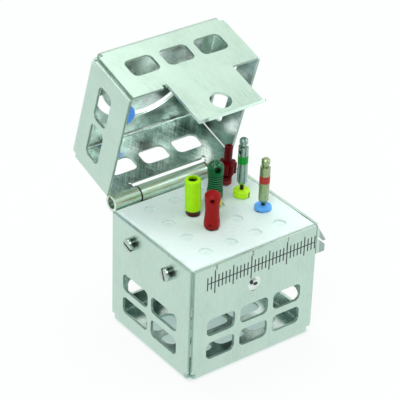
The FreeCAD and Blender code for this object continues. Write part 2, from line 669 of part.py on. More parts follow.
def make_lid():
    """The lid, drawn shut with the hinge axis as its own X axis, then thrown back."""
    body = new_body("lid_shell")
    rim = S.rim_gap / 2
    top = rim + S.lid_height
    front = -HALF_DEPTH - HINGE_Y
    rear = HALF_DEPTH - HINGE_Y
    gauge = S.sheet_gauge
    section = channel(front, rear, top, top - gauge, top - STUB)
    sketch = new_sketch(body, "lid_front_rear_fold", "YZ_Plane", [section])
    pad(body, "top_front_rear", sketch, FOLD_WIDTH, both_ways=True)
    section = channel(-HALF_WIDTH, HALF_WIDTH, top, top - gauge, top - STUB)
    sketch = new_sketch(body, "lid_side_fold", "XZ_Plane", [section], lift=HINGE_Y)
    pad(body, "top_sides", sketch, FOLD_DEPTH, both_ways=True)
    near, far = front + S.corner_gap, rear - S.corner_gap
    skirts = [strip(-WALL_END_X, WALL_END_X, front, front + gauge),
              strip(-WALL_END_X, WALL_END_X, rear - gauge, rear),
              strip(-HALF_WIDTH, gauge - HALF_WIDTH, near, far),
              strip(HALF_WIDTH - gauge, HALF_WIDTH, near, far)]
    sketch = new_sketch(body, "skirt_lines", "XY_Plane", skirts, lift=rim)
    pad(body, "skirts", sketch, S.lid_height - S.relief_height)

    # The rear skirt is cut clear of the middle knuckle, with a relief hole in each corner
    cut_half = S.middle_knuckle / 2 + S.hinge_cut_margin
    cut_top = rim + S.hinge_cut_height
    opening = strip(-cut_half, cut_half, rim - 1, cut_top)
    sketch = new_sketch(body, "hinge_cut_line", "XZ_Plane", [opening], lift=gauge / 2 - rear)
    pocket(body, "hinge_cut", sketch, 4 * gauge)
    reliefs = [(side * cut_half, cut_top, S.cut_corner_hole) for side in (-1, 1)]
    sketch = new_sketch(body, "cut_corner_line", "XZ_Plane", circles=reliefs, lift=gauge / 2 - rear)
    pocket(body, "cut_corners", sketch, 4 * gauge)

    curl = roll(rear - gauge, term(0), term(0), rim, False)
    start = S.middle_knuckle / 2 + S.knuckle_gap
    sketch = new_sketch(body, "lid_knuckle_section", "YZ_Plane", [curl], lift=start)
    knuckle = pad(body, "right_knuckle", sketch, SIDE_KNUCKLE)
    mirror = body.newObject("PartDesign::Mirrored", "left_knuckle")
    mirror.Originals = [knuckle]
    mirror.MirrorPlane = (datum(body, "YZ_Plane"), [""])
    finish(body, mirror)

    # Windows
    start = first_of(S.window_columns, S.window_pitch)
    hole = window(start, rim + S.lid_window_low, S.lid_window_width, S.lid_window_height,
                  S.lid_window_corner)
    sketch = new_sketch(body, "lid_front_window_line", "XZ_Plane", [hole], lift=-front - gauge / 2)
    cut = pocket(body, "lid_front_window", sketch, 4 * gauge)
    repeat(body, "lid_front_windows", cut, "X", S.window_columns, S.window_pitch)
    hole = window(start, rim + S.lid_rear_window_low, S.lid_window_width,
                  S.lid_rear_window_height, S.lid_window_corner)
    sketch = new_sketch(body, "lid_rear_window_line", "XZ_Plane", [hole], lift=gauge / 2 - rear)
    cut = pocket(body, "lid_rear_window", sketch, 4 * gauge)
    repeat(body, "lid_rear_windows", cut, "X", S.window_columns, S.window_pitch)
    start = first_of(S.side_columns, S.side_window_pitch) - HINGE_Y
    hole = window(start, rim + S.lid_side_window_low, S.lid_side_window_width,
                  S.lid_side_window_height, S.lid_window_corner)
    sketch = new_sketch(body, "lid_side_window_line", "YZ_Plane", [hole])
    cut = pocket(body, "lid_side_window", sketch)
    repeat(body, "lid_side_windows", cut, "Y", S.side_columns, S.side_window_pitch)

    # A curved slot frees a round tongue in the top, which stays joined at the front
    middle = S.tongue_centre - HINGE_Y
    wide = S.tongue_radius + S.tongue_slot
    across, along = cosine(S.tongue_end_angle), sine(S.tongue_end_angle)
    half = S.tongue_slot / 2
    cap = S.tongue_end_radius
    inset = root(cap * cap - half * half)
    mid_x = (S.tongue_radius + half) * across - inset * along
    mid_y = middle + (S.tongue_radius + half) * along + inset * across
    slot = [(wide * across, middle + wide * along, (0, middle, wide, True)),
            (-wide * across, middle + wide * along, (-mid_x, mid_y, cap, True)),
            (-S.tongue_radius * across, middle + S.tongue_radius * along,
             (0, middle, S.tongue_radius, False)),
            (S.tongue_radius * across, middle + S.tongue_radius * along, (mid_x, mid_y, cap, True))]
    sketch = new_sketch(body, "tongue_slot_line", "XY_Plane", [slot])
    pocket(body, "tongue_slot", sketch)
    holes = [(side * S.top_hole_spacing / 2, front + S.top_hole_inset, S.top_hole_radius)
             for side in (-1, 1)]
    sketch = new_sketch(body, "top_hole_line", "XY_Plane", circles=holes)
    pocket(body, "top_holes", sketch)

    # Snap tab: it steps out past the front wall, hangs down over the stud and ends in a lip
    step = gauge + S.tab_gap
    lean_y, lean_z = sine(S.tab_lip_angle), cosine(S.tab_lip_angle)
    slant = root(step * step + S.tab_joggle * S.tab_joggle)
    mitre = gauge * (slant - S.tab_joggle) / step
    lip_mitre = gauge * (1 - lean_z) / lean_y
    out, low = front - step, rim - S.tab_drop
    root_z = rim + S.tab_root
    half = S.tab_width / 2 + S.tab_relief
    sketch = new_sketch(body, "tab_relief_line", "XZ_Plane", [strip(-half, half, rim - 1, root_z)],
                        lift=-front - gauge / 2)
    pocket(body, "tab_reliefs", sketch, 4 * gauge)
    tab = [(front, root_z + gauge, None), (front, root_z, None), (out, root_z - S.tab_joggle, None),
           (out, low, None), (out - S.tab_lip * lean_y, low - S.tab_lip * lean_z, None),
           (out - S.tab_lip * lean_y + gauge * lean_z,
            low - S.tab_lip * lean_z - gauge * lean_y, None),
           (out + gauge, low - lip_mitre, None),
           (out + gauge, root_z - S.tab_joggle - mitre, None),
           (front + gauge, root_z - mitre, None), (front + gauge, root_z + gauge, None)]
    sketch = new_sketch(body, "tab_section", "YZ_Plane", [tab])
    pad(body, "tab", sketch, S.tab_width, both_ways=True)
    sketch = new_sketch(body, "tab_hole_line", "XZ_Plane",
                        circles=[(-S.tab_hole_left, rim - S.tab_hole_drop, S.tab_hole_radius)], lift=-out - gauge / 2)
    pocket(body, "tab_hole", sketch, 4 * gauge)

    # The lip's two lower corners are rounded
    corners = []
    edge_length = S.sheet_gauge.value
    lowest = (low - S.tab_lip * lean_z).value
    for number, edge in enumerate(body.Shape.Edges, start=1):
        spot = edge.CenterOfMass
        at_side = abs(abs(spot.x) - S.tab_width.value / 2) < 1e-4
        if at_side and abs(edge.Length - edge_length) < 1e-4 and spot.z < lowest:
            corners.append("Edge%d" % number)
    if len(corners) != 2:
        raise RuntimeError("the lip has %d corners" % len(corners))
    round_edges(body, "lip_corners", corners, S.tab_corner)
    locate(body, 0, HINGE_Y, HINGE_Z, (-1, 0, 0), S.open_angle)
    return body


def make_marker():
    """Soft button pushed through the lid's curved slot, its broad head inside the lid."""
    body = new_body("slot_marker")
    neck = S.tongue_slot / 2 - S.marker_neck_gap
    top = S.rim_gap / 2 + S.lid_height
    under = top - S.sheet_gauge
    half = S.marker_height / 2
    cap = S.marker_cap_height
    outline = square([(0, under - S.marker_height, None), (S.marker_radius, under - S.marker_height, half),
                      (S.marker_radius, under, None), (neck, under, None), (neck, top, None),
                      (S.marker_cap_radius, top, None), (S.marker_cap_radius, top + cap, cap / 2),
                      (0, top + cap, None)])
    turn(body, "button", outline)
    # Its seat follows the slot's middle line; the lid's Placement then carries it
    radius = S.tongue_radius + S.tongue_slot / 2
    x = -radius * sine(S.marker_angle)
    y = S.tongue_centre + radius * cosine(S.marker_angle) - HINGE_Y
    turned_y = HINGE_Y + y * cosine(S.open_angle)
    turned_z = HINGE_Z - y * sine(S.open_angle)
    locate(body, x, turned_y, turned_z, (-1, 0, 0), S.open_angle)
    return body


def make_pin():
    """Hinge pin."""
    body = new_body("hinge_pin")
    sketch = new_sketch(body, "pin_line", "YZ_Plane", circles=[(0, 0, S.pin_radius)])
    pad(body, "pin", sketch, S.pin_length, both_ways=True)
    locate(body, 0, HINGE_Y, HINGE_Z)
    return body


def make_stud():
    """Domed stud that the tab's hole springs over; its shank fills the front wall."""
    body = new_body("snap_stud")
    dome = (S.stud_radius * S.stud_radius + S.stud_height * S.stud_height) / (2 * S.stud_height)
    outline = [(0, -S.sheet_gauge, None), (S.stud_shank_radius, -S.sheet_gauge, None),
               (S.stud_shank_radius, 0, None), (S.stud_radius, 0, (0, S.stud_height - dome, dome, True)),
               (0, S.stud_height, None)]
    turn(body, "stud", outline)
    locate(body, -S.tab_hole_left, -HALF_DEPTH, STUD_Z, (1, 0, 0), 90)
    return body


INSTRUMENTS = {
    "yellow": (1, 2), "red": (1, 1), "green": (2, 2),
    "dark_red": (3, 3), "silver": (3, 2), "brass": (3, 1),
}


def place_of(name):
    """Where an instrument was pushed in, a little off the middle of its place."""
    column, line = INSTRUMENTS[name]
    start = first_of(S.hole_count, S.hole_pitch)
    right, back = {
        "yellow": (S.yellow_right, S.yellow_back), "red": (S.red_right, S.red_back),
        "green": (S.green_right, S.green_back), "dark_red": (S.dark_right, term(0)),
        "silver": (term(0), S.silver_back), "brass": (S.brass_right, term(0)),
    }[name]
    return start + column * S.hole_pitch + right, start + line * S.hole_pitch + back


def lean_of(name):
    """How far an instrument leans to the right."""
    return {"dark_red": S.dark_lean, "brass": S.brass_lean,
            "yellow": S.yellow_lean}.get(name, term(0))


def make_block():
    """Soft block between the walls: sixteen places, of which six are pierced."""
    body = new_body("file_block")
    half_x = HALF_WIDTH - S.sheet_gauge - S.block_clearance
    half_y = HALF_DEPTH - S.sheet_gauge - S.block_clearance
    sketch = new_sketch(body, "block_line", "XY_Plane", [strip(-half_x, half_x, -half_y, half_y)])
    pad(body, "block", sketch, S.block_height)
    edges = []
    for number, edge in enumerate(body.Shape.Edges, start=1):
        if abs(edge.CenterOfMass.z - S.block_height.value) < 1e-6:
            edges.append("Edge%d" % number)
    round_edges(body, "block_edges", edges, S.block_edge)
    start = first_of(S.hole_count, S.hole_pitch)
    column = [(start, y, S.dimple_radius) for y in steps(start, S.hole_pitch, S.hole_count)]
    sketch = new_sketch(body, "dimple_lines", "XY_Plane", circles=column, lift=S.block_height)
    cut = pocket(body, "dimple_column", sketch, S.dimple_depth, both_ways=False)
    repeat(body, "dimples", cut, "X", S.hole_count, S.hole_pitch)
    # Each instrument has pierced its own place, along its own lean
    for name in INSTRUMENTS:
        sketch = new_sketch(body, name + "_pierced_line", "XY_Plane",
                            circles=[(0, 0, S.file_radius + S.pierce_clearance)])
        tilt(sketch, *place_of(name), S.block_height, lean_of(name))
        pocket(body, name + "_pierced", sketch)
    # Blind holes for the screws, from the left and from the right
    reach = S.screw_length - S.sheet_gauge - S.block_clearance + S.screw_clearance
    for side, label in ((-1, "left"), (1, "right")):
        places = [(way * S.screw_spread / 2, SCREW_Z - BLOCK_LOW, S.screw_radius + S.screw_clearance)
                  for way in (-1, 1)]
        sketch = new_sketch(body, label + "_screw_line", "YZ_Plane", circles=places, lift=side * half_x)
        pocket(body, label + "_screw_holes", sketch, reach, both_ways=False, backwards=side < 0)
    locate(body, 0, 0, BLOCK_LOW)
    return body


def make_screw(name, side, way, slot_angle):
    """Slotted cheese head screw through a side wall into the block."""
    body = new_body(name)
    outline = square([(0, -S.screw_length, None), (S.screw_radius, -S.screw_length, None),
                      (S.screw_radius, 0, None), (S.screw_head_radius, 0, None),
                      (S.screw_head_radius, S.screw_head_height, S.screw_head_round),
                      (0, S.screw_head_height, None)])
    turn(body, "screw", outline)
    groove = strip(-2 * S.screw_head_radius, 2 * S.screw_head_radius, -S.screw_slot / 2, S.screw_slot / 2)
    sketch = new_sketch(body, "slot_line", "XY_Plane", [groove], lift=S.screw_head_height)
    sketch.AttachmentOffset = FreeCAD.Placement(
        sketch.AttachmentOffset.Base, FreeCAD.Rotation(FreeCAD.Vector(0, 0, 1), slot_angle))
    pocket(body, "slot", sketch, S.screw_slot_depth, both_ways=False)
    locate(body, side * HALF_WIDTH, way * S.screw_spread / 2, SCREW_Z, (0, 1, 0), side * 90)
    return body


def make_shaft(name, place, thick, thin, depth, top):
    """Tapered shaft: it hangs through the block and is held by its handle up to a height."""
    body = new_body(name)
    outline = [(0, -depth, None), (thin, -depth, None), (thick, -depth / 2, None),
               (thick, top, None), (0, top, None)]
    turn(body, "shaft", outline)
    return stand(body, place)


def stand(body, place, facing=0):
    """Stand a piece of an instrument over its place, leaning or with its front turned."""
    x, y = place_of(place)
    lean = lean_of(place)
    if facing:
        locate(body, x, y, BLOCK_TOP, (0, 0, 1), facing)
    else:
        locate(body, x, y, BLOCK_TOP, (0, 1, 0), lean)
    return body


def make_disc(name, place, radius, height, rounding, shaft):
    """Ring or stop on a shaft; a leaning one touches the block with one edge."""
    body = new_body(name)
    bore = shaft + S.plug_clearance
    low = radius * sine(lean_of(place))
    if low.value < 0:
        low = -low
    outline = square([(bore, low, None), (radius, low, rounding), (radius, low + height, rounding),
                      (bore, low + height, None)])
    turn(body, "disc", outline)
    return stand(body, place)


def cross_hole(body, height, radius):
    """Hole across a handle."""
    sketch = new_sketch(body, "cross_hole_line", "XZ_Plane", circles=[(0, height, radius)])
    return pocket(body, "cross_hole", sketch)


def make_yellow():
    """Plain yellow handle with a sunk top, on a brown ring."""
    body = new_body("yellow_file_handle")
    low, top = S.yellow_ring_height - S.yellow_ring_radius * sine(S.yellow_lean), S.yellow_top
    bore = S.file_radius + S.plug_clearance
    outline = square([(0, low + S.file_plug, None), (bore, low + S.file_plug, None), (bore, low, None),
                      (S.yellow_radius, low, None), (S.yellow_radius, top, S.yellow_round),
                      (S.yellow_recess_radius, top, None),
                      (S.yellow_recess_radius, top - S.yellow_recess_depth, None),
                      (0, top - S.yellow_recess_depth, None)])
    turn(body, "handle", outline)
    stand(body, "yellow")
    make_disc("yellow_file_ring", "yellow", S.yellow_ring_radius, S.yellow_ring_height, None,
              S.file_radius)
    make_shaft("yellow_file_shaft", "yellow", S.file_radius, S.file_tip_radius, S.file_length,
               low + S.file_plug - S.plug_clearance)


def waisted(radius, waist, low, foot, head, dome, top, bore, plug, foot_round):
    """Outline of a handle with a waist and a domed top, hollow where it holds its shaft."""
    start, end = low + foot, top - head
    half = (end - start) / 2
    sink = radius - waist
    hollow = (half * half + sink * sink) / (2 * sink)
    ball = (radius * radius + dome * dome) / (2 * dome)
    return [(0, low + plug, None), (bore, low + plug, None), (bore, low, None),
            (radius - foot_round, low, (radius - foot_round, low + foot_round, foot_round, True)),
            (radius, low + foot_round, None),
            (radius, start, (waist + hollow, start + half, hollow, False)),
            (radius, end, None),
            (radius, top - dome, (0, top - ball, ball, True)),
            (0, top, None)]


def make_red():
    """Red handle with a waist, a domed top and a cross hole."""
    body = new_body("red_file_handle")
    bore = S.file_radius + S.plug_clearance
    outline = waisted(S.red_radius, S.red_waist, term(0), S.red_foot_height, S.red_head_height,
                      S.red_dome, S.red_top, bore, S.file_plug, S.red_foot_round)
    turn(body, "handle", outline)
    cross_hole(body, S.red_top - S.red_hole_drop, S.red_hole_radius)
    stand(body, "red", -37)
    make_shaft("red_file_shaft", "red", S.file_radius, S.file_tip_radius, S.file_length,
               S.file_plug - S.plug_clearance)


def make_green():
    """Green handle with a ribbed waist, over a yellow stop."""
    body = new_body("green_file_handle")
    bore = S.file_radius + S.plug_clearance
    outline = waisted(S.green_radius, S.green_waist, S.green_foot, S.green_foot_height,
                      S.green_head_height, S.green_dome, S.green_top, bore, S.file_plug,
                      S.red_foot_round)
    turn(body, "handle", outline)
    cross_hole(body, S.green_top - S.green_hole_drop, S.green_hole_radius)
    middle = (S.green_foot + S.green_foot_height + S.green_top - S.green_head_height) / 2
    low = middle - (S.green_rib_count - 1) * S.green_rib_pitch / 2
    inner = S.green_waist - S.green_rib_depth
    notch = strip(inner, S.green_radius + 1, low - S.green_rib_width / 2, low + S.green_rib_width / 2)
    groove = turn(body, "rib_groove", notch, cut=True)
    repeat(body, "rib_grooves", groove, "Z", S.green_rib_count, S.green_rib_pitch)
    stand(body, "green", -17)
    make_disc("green_file_stop", "green", S.green_stop_radius, S.green_stop_height, S.stop_round,
              S.file_radius)
    make_shaft("green_file_shaft", "green", S.file_radius, S.file_tip_radius, S.file_length,
               S.green_foot + S.file_plug - S.plug_clearance)


def make_dark_red():
    """Slim dark red handle: a column with a lobed collar on a short foot, leaning a little."""
    body = new_body("dark_red_file_handle")
    low = S.dark_ring_height + S.dark_base_radius * sine(S.dark_lean)
    top = S.dark_top
    bore = S.file_radius + S.plug_clearance
    plug = low + S.file_plug / 2
    outline = square([(0, plug, None), (bore, plug, None), (bore, low, None),
                      (S.dark_base_radius, low, None), (S.dark_base_radius, S.dark_base_height, None),
                      (S.dark_radius, S.dark_base_height, None), (S.dark_radius, top, S.dark_radius / 4),
                      (S.dark_recess_radius, top, None),
                      (S.dark_recess_radius, top - S.dark_recess_depth, None),
                      (0, top - S.dark_recess_depth, None)])
    turn(body, "column", outline)
    # The collar: a disc and one lobe, which is repeated round the axis
    sketch = new_sketch(body, "collar_line", "XY_Plane", circles=[(0, 0, S.dark_collar_radius)],
                        lift=S.dark_collar_low)
    pad(body, "collar", sketch, S.dark_collar_height)
    sketch = new_sketch(body, "lobe_line", "XY_Plane",
                        circles=[(S.dark_collar_radius, 0, S.dark_lobe_radius)], lift=S.dark_collar_low)
    lobe = pad(body, "lobe", sketch, S.dark_collar_height)
    pattern = body.newObject("PartDesign::PolarPattern", "lobes")
    pattern.Originals = [lobe]
    pattern.Axis = axis_of(body, "Z")
    pattern.Angle = 360
    pattern.Occurrences = int(S.dark_lobe_count.value)
    pattern.setExpression("Occurrences", S.dark_lobe_count.text)
    finish(body, pattern)
    stand(body, "dark_red")
    make_disc("dark_red_file_ring", "dark_red", S.dark_base_radius, S.dark_ring_height, None,
              S.file_radius)
    make_shaft("dark_red_file_shaft", "dark_red", S.file_radius, S.file_tip_radius, S.file_length,
               plug - S.plug_clearance)


def make_drill(colour, low, top, band_low, band_height, flat, stop_radius, stop_height):
    """Latch type drill: grooved and flatted shank with a colour band, thin shaft and a stop."""
    body = new_body(colour + "_drill_shank")
    radius = S.latch_radius
    seat = radius - S.band_depth
    bore = S.drill_radius + S.plug_clearance
    groove_top = top - S.latch_head
    groove_low = groove_top - S.latch_groove_width
    plug = low + S.file_plug
    outline = [(0, plug, None), (bore, plug, None), (bore, low, None),
               (radius - S.shank_shoulder / 2, low, None), (radius, low + S.shank_shoulder, None),
               (radius, band_low, None), (seat, band_low, None), (seat, band_low + band_height, None),
               (radius, band_low + band_height, None), (radius, groove_low, None),
               (S.latch_groove_radius, groove_low, None), (S.latch_groove_radius, groove_top, None),
               (S.latch_head_radius, groove_top, None),
               (S.latch_head_radius, top - S.latch_chamfer, None),
               (S.latch_head_radius - S.latch_chamfer, top, None), (0, top, None)]
    turn(body, "shank", outline)
    side = strip(radius - S.latch_flat, 2 * radius, -2 * radius, 2 * radius)
    sketch = new_sketch(body, "flat_line", "XY_Plane", [side], lift=top)
    pocket(body, "driving_flat", sketch, flat, both_ways=False)
    stand(body, colour)

    band = new_body(colour + "_drill_band")
    outline = strip(seat, radius + S.band_proud, band_low, band_low + band_height)
    turn(band, "band", outline)
    stand(band, colour)
    make_disc(colour + "_drill_stop", colour, stop_radius, stop_height, S.stop_round, S.drill_radius)
    make_shaft(colour + "_drill_shaft", colour, S.drill_radius, S.drill_tip_radius, S.drill_length,
               low + S.file_plug - S.plug_clearance)


make_base()
make_lid()
make_marker()
make_pin()
make_stud()
make_block()
make_screw("block_screw_left_front", -1, -1, 20)
make_screw("block_screw_left_rear", -1, 1, 70)
make_screw("block_screw_right_front", 1, -1, -35)
make_screw("block_screw_right_rear", 1, 1, 10)
make_yellow()
make_red()
make_green()
make_dark_red()
make_drill("silver", S.silver_low, S.silver_top, S.silver_band_low, S.silver_band_height,
           S.silver_flat, S.silver_stop_radius, S.silver_stop_height)
make_drill("brass", S.brass_low, S.brass_top, S.brass_band_low, S.brass_band_height,
           S.brass_flat, S.brass_stop_radius, S.brass_stop_height)

doc.recompute()
for thing in doc.Objects:
    if "Invalid" in thing.State or "Error" in thing.State:
        raise RuntimeError("%s did not build: %s" % (thing.Label, thing.State))
for body in PARTS:
    shape = body.Shape
    if shape.isNull() or not shape.isValid() or len(shape.Solids) != 1:
        raise RuntimeError("%s is not one valid solid" % body.Label)

os.makedirs("parts", exist_ok=True)
for body in PARTS:
    body.Shape.exportStep("parts/%s.step" % body.Label)
    box = body.Shape.BoundBox
    print("%-26s volume %9.3f  x %.2f %.2f  y %.2f %.2f  z %.2f %.2f" % (
        body.Label, body.Shape.Volume, box.XMin, box.XMax, box.YMin, box.YMax, box.ZMin, box.ZMax))
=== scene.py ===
"""Endodontic file box: finishes, ruler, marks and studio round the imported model."""

import json
import math

import bpy
from mathutils import Matrix, Vector


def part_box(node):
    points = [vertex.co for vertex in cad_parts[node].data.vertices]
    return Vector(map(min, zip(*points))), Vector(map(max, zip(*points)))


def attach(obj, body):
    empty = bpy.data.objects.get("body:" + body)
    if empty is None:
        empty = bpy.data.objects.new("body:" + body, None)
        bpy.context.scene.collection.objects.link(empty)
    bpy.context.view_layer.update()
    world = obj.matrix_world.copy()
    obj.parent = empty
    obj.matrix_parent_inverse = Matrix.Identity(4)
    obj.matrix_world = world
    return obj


bl_info = {
    "name": "Endodontic File Box",
    "version": (1, 0, 0),
    "blender": (4, 5, 0),
    "location": "View3D > Sidebar > File Box",
    "description": "Finishes a slotted steel box with its files, ruler and a plain studio",
    "category": "Object",
}

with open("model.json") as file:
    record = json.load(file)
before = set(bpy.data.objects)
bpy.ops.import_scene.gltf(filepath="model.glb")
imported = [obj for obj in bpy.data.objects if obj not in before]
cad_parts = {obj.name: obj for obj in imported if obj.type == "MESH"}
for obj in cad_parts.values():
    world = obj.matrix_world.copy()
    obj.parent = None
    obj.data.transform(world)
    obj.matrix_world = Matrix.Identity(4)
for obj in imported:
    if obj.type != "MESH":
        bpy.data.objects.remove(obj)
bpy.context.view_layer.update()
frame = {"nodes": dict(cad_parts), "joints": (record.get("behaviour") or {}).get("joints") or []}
MM = 0.001
HINGE = frame["joints"][0]
HINGE_POINT = Vector(HINGE["pos_m"])
OPEN_ANGLE = math.radians(73.3)  # the lid as photographed, from level

# All in millimetres
SHEET = 0.7  # thickness of the folded sheet
FAR = 50  # half height of the upright boxes that the depth under the skin is measured from
GROOVE_PITCH = 0.6  # between the grooves of the green handle
GROOVES = 7

# Colours that no panel offers
# Painted shadow in the gaps where the knuckles meet
GAP_SHADOW = (0.02, 0.022, 0.02, 1.0)
# Painted golden reflection streaked over the knuckles
GOLD_REFLECTION = (0.62, 0.63, 0.40, 1.0)
GLINT = (0.75, 0.85, 0.8, 1.0)
# Painted highlight on the crests of the green handle's ribs
RIB_HIGHLIGHT = (0.25, 0.6, 0.42, 1.0)
SCREW = (0.50, 0.60, 0.55)
STUD = (0.74, 0.86, 0.80)
PIN = (0.22, 0.24, 0.23)
FILE_SHAFT = (0.30, 0.32, 0.30)
DRILL_SHAFT = (0.05, 0.05, 0.045)
BLUE_STOP = (0.10, 0.42, 1.0)
YELLOW_STOP = (0.92, 0.85, 0.10)
LIME_STOP = (0.55, 1.0, 0.01)
STOP_INK = (0.02, 0.03, 0.015)
BROWN_RING = (0.07, 0.014, 0.004)
ROSE_RING = (0.26, 0.02, 0.025)
GREEN_BAND = (0.004, 0.34, 0.03)
RED_BAND = (0.42, 0.03, 0.02)


# Shader maths


class Value:
    """A number socket that adds its own Math nodes when it is used in an expression."""

    def __init__(self, tree, socket):
        self.tree = tree
        self.socket = socket

    def _math(self, operation, *terms):
        return self.tree.node("ShaderNodeMath", {"operation": operation}, terms).out()

    def __add__(self, other):
        return self._math("ADD", self, other)

    def __radd__(self, other):
        return self._math("ADD", other, self)

    def __sub__(self, other):
        return self._math("SUBTRACT", self, other)

    def __rsub__(self, other):
        return self._math("SUBTRACT", other, self)

    def __mul__(self, other):
        return self._math("MULTIPLY", self, other)

    def __rmul__(self, other):
        return self._math("MULTIPLY", other, self)

    def __truediv__(self, other):
        return self._math("DIVIDE", self, other)

    def __rtruediv__(self, other):
        return self._math("DIVIDE", other, self)

    def __pow__(self, other):
        return self._math("POWER", self, other)

    def least(self, other):
        return self._math("MINIMUM", self, other)

    def most(self, other):
        return self._math("MAXIMUM", self, other)

    def size(self):
        return self._math("ABSOLUTE", self)

    def clamped(self):
        return self.most(0.0).least(1.0)

    def cosine(self):
        return self._math("COSINE", self)

    def fraction(self):
        return self._math("FRACT", self)


class Made:
    """A node and its outputs."""

    def __init__(self, tree, node):
        self.tree = tree
        self.node = node

    def out(self, name=0):
        return Value(self.tree, self.node.outputs[name])


class Tree:
    """A material's or world's node tree with one way to add any node."""

    def __init__(self, owner):
        owner.use_nodes = True
        self.nodes = owner.node_tree.nodes
        self.links = owner.node_tree.links
        self.nodes.clear()

    def node(self, kind, settings=None, inputs=None):
        """Add a node: its settings first, then values or links for its sockets."""
        made = self.nodes.new(kind)
        for name, setting in (settings or {}).items():
            if name == "stops":
                self._stops(made, setting)
            else:
                setattr(made, name, setting)
        pairs = inputs.items() if isinstance(inputs, dict) else enumerate(inputs or ())
        for name, value in pairs:
            if value is None:
                continue
            if isinstance(value, Made):
                value = value.out()
            if isinstance(value, Value):
                self.links.new(value.socket, made.inputs[name])
            else:
                made.inputs[name].default_value = value
        return Made(self, made)

    @staticmethod
    def _stops(made, stops):
        elements = made.color_ramp.elements
        while len(elements) > 1:
            elements.remove(elements[-1])
        elements[0].position, elements[0].color = stops[0]
        for position, color in stops[1:]:
            elements.new(position).color = color

    def mix(self, factor, first, second):
        """Blend two colours."""
        return self.node("ShaderNodeMix", {"data_type": "RGBA"},
                         {0: factor, 6: first, 7: second}).out(2)

    def ramp(self, factor, stops):
        return self.node("ShaderNodeValToRGB", {"stops": stops}, [factor]).out()

    def place(self, scale=(1, 1, 1), turn=(0, 0, 0), shift=(0, 0, 0)):
        """The piece's own coordinates in millimetres, turned and stretched."""
        coordinates = self.node("ShaderNodeTexCoord").out("Object")
        moved = self.node("ShaderNodeMapping", {"vector_type": "POINT"},
                          {0: coordinates, 1: shift, 2: turn, 3: (1000, 1000, 1000)}).out()
        return self.node("ShaderNodeVectorMath", {"operation": "MULTIPLY"}, [moved, scale]).out()

    def noise(self, where, scale, detail=3.0, rough=0.5):
        return self.node("ShaderNodeTexNoise", None,
                         {"Vector": where, "Scale": scale, "Detail": detail,
                          "Roughness": rough}).out("Fac")

    def split(self, where):
        parts = self.node("ShaderNodeSeparateXYZ", None, [where])
        return parts.out(0), parts.out(1), parts.out(2)

    def spot(self, centre, reach, soft, amount):
        """A soft ellipsoid round a point, in millimetres, as a mask."""
        away = sum((((part - middle) / far) ** 2.0
                    for part, middle, far in zip(self.split(self.place()), centre, reach)), 0.0)
        return ((1.0 - away) * soft).clamped() * amount

    def bump(self, height, depth, strength=1.0):
        """A Bump node; depth is in metres."""
        return self.node("ShaderNodeBump", None,
                         {"Strength": strength, "Distance": depth, "Height": height}).out()

    def looked_at(self):
        """One for rays from the camera and for mirrored and refracted ones."""
        rays = self.node("ShaderNodeLightPath")
        return (rays.out("Is Camera Ray").most(rays.out("Is Glossy Ray"))
                .most(rays.out("Is Transmission Ray")))

    def surface(self, **inputs):
        """A Principled shader on the output; underscores stand for spaces in socket names."""
        named = {name.replace("_", " "): value for name, value in inputs.items()}
        shader = self.node("ShaderNodeBsdfPrincipled", None, named).out()
        self.node("ShaderNodeOutputMaterial", None, [shader])


def rgba(color):
    return (color[0], color[1], color[2], 1.0)


def shade(color, factor):
    return tuple(min(channel * factor, 1.0) for channel in color[:3]) + (1.0,)


def new_material(name):
    return bpy.data.materials.new(name)


def dress(material, *names):
    """Give CAD nodes a material."""
    for name in names:
        piece = frame["nodes"][name]
        if not piece.material_slots:
            piece.data.materials.append(material)
        for slot in piece.material_slots:
            slot.material = material


def joined(name, meshes, material, body):
    """One finished piece from several meshes that are already in place."""
    mesh = bpy.data.meshes.new(name)
    holder = bpy.data.objects.new(name, mesh)
    vertices, faces = [], []
    for part in meshes:
        start = len(vertices)
        vertices.extend(tuple(vertex.co) for vertex in part.vertices)
        faces.extend([start + index for index in polygon.vertices] for polygon in part.polygons)
    mesh.from_pydata(vertices, [], faces)
    mesh.materials.append(material)
    mesh.update()
    bpy.context.scene.collection.objects.link(holder)
    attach(holder, body)
    return holder


# Materials


def skin_depth(where, middle, half, bend):
    """How deep a point lies under the outside of a box with rounded bends, in millimetres."""
    beyond = [(part - centre).size() - (reach - bend)
              for part, centre, reach in zip(where, middle, half)]
    round_part = sum((part.most(0.0) ** 2.0 for part in beyond), 0.0) ** 0.5
    flat_part = beyond[0].most(beyond[1]).most(beyond[2]).least(0.0)
    return bend - round_part - flat_part


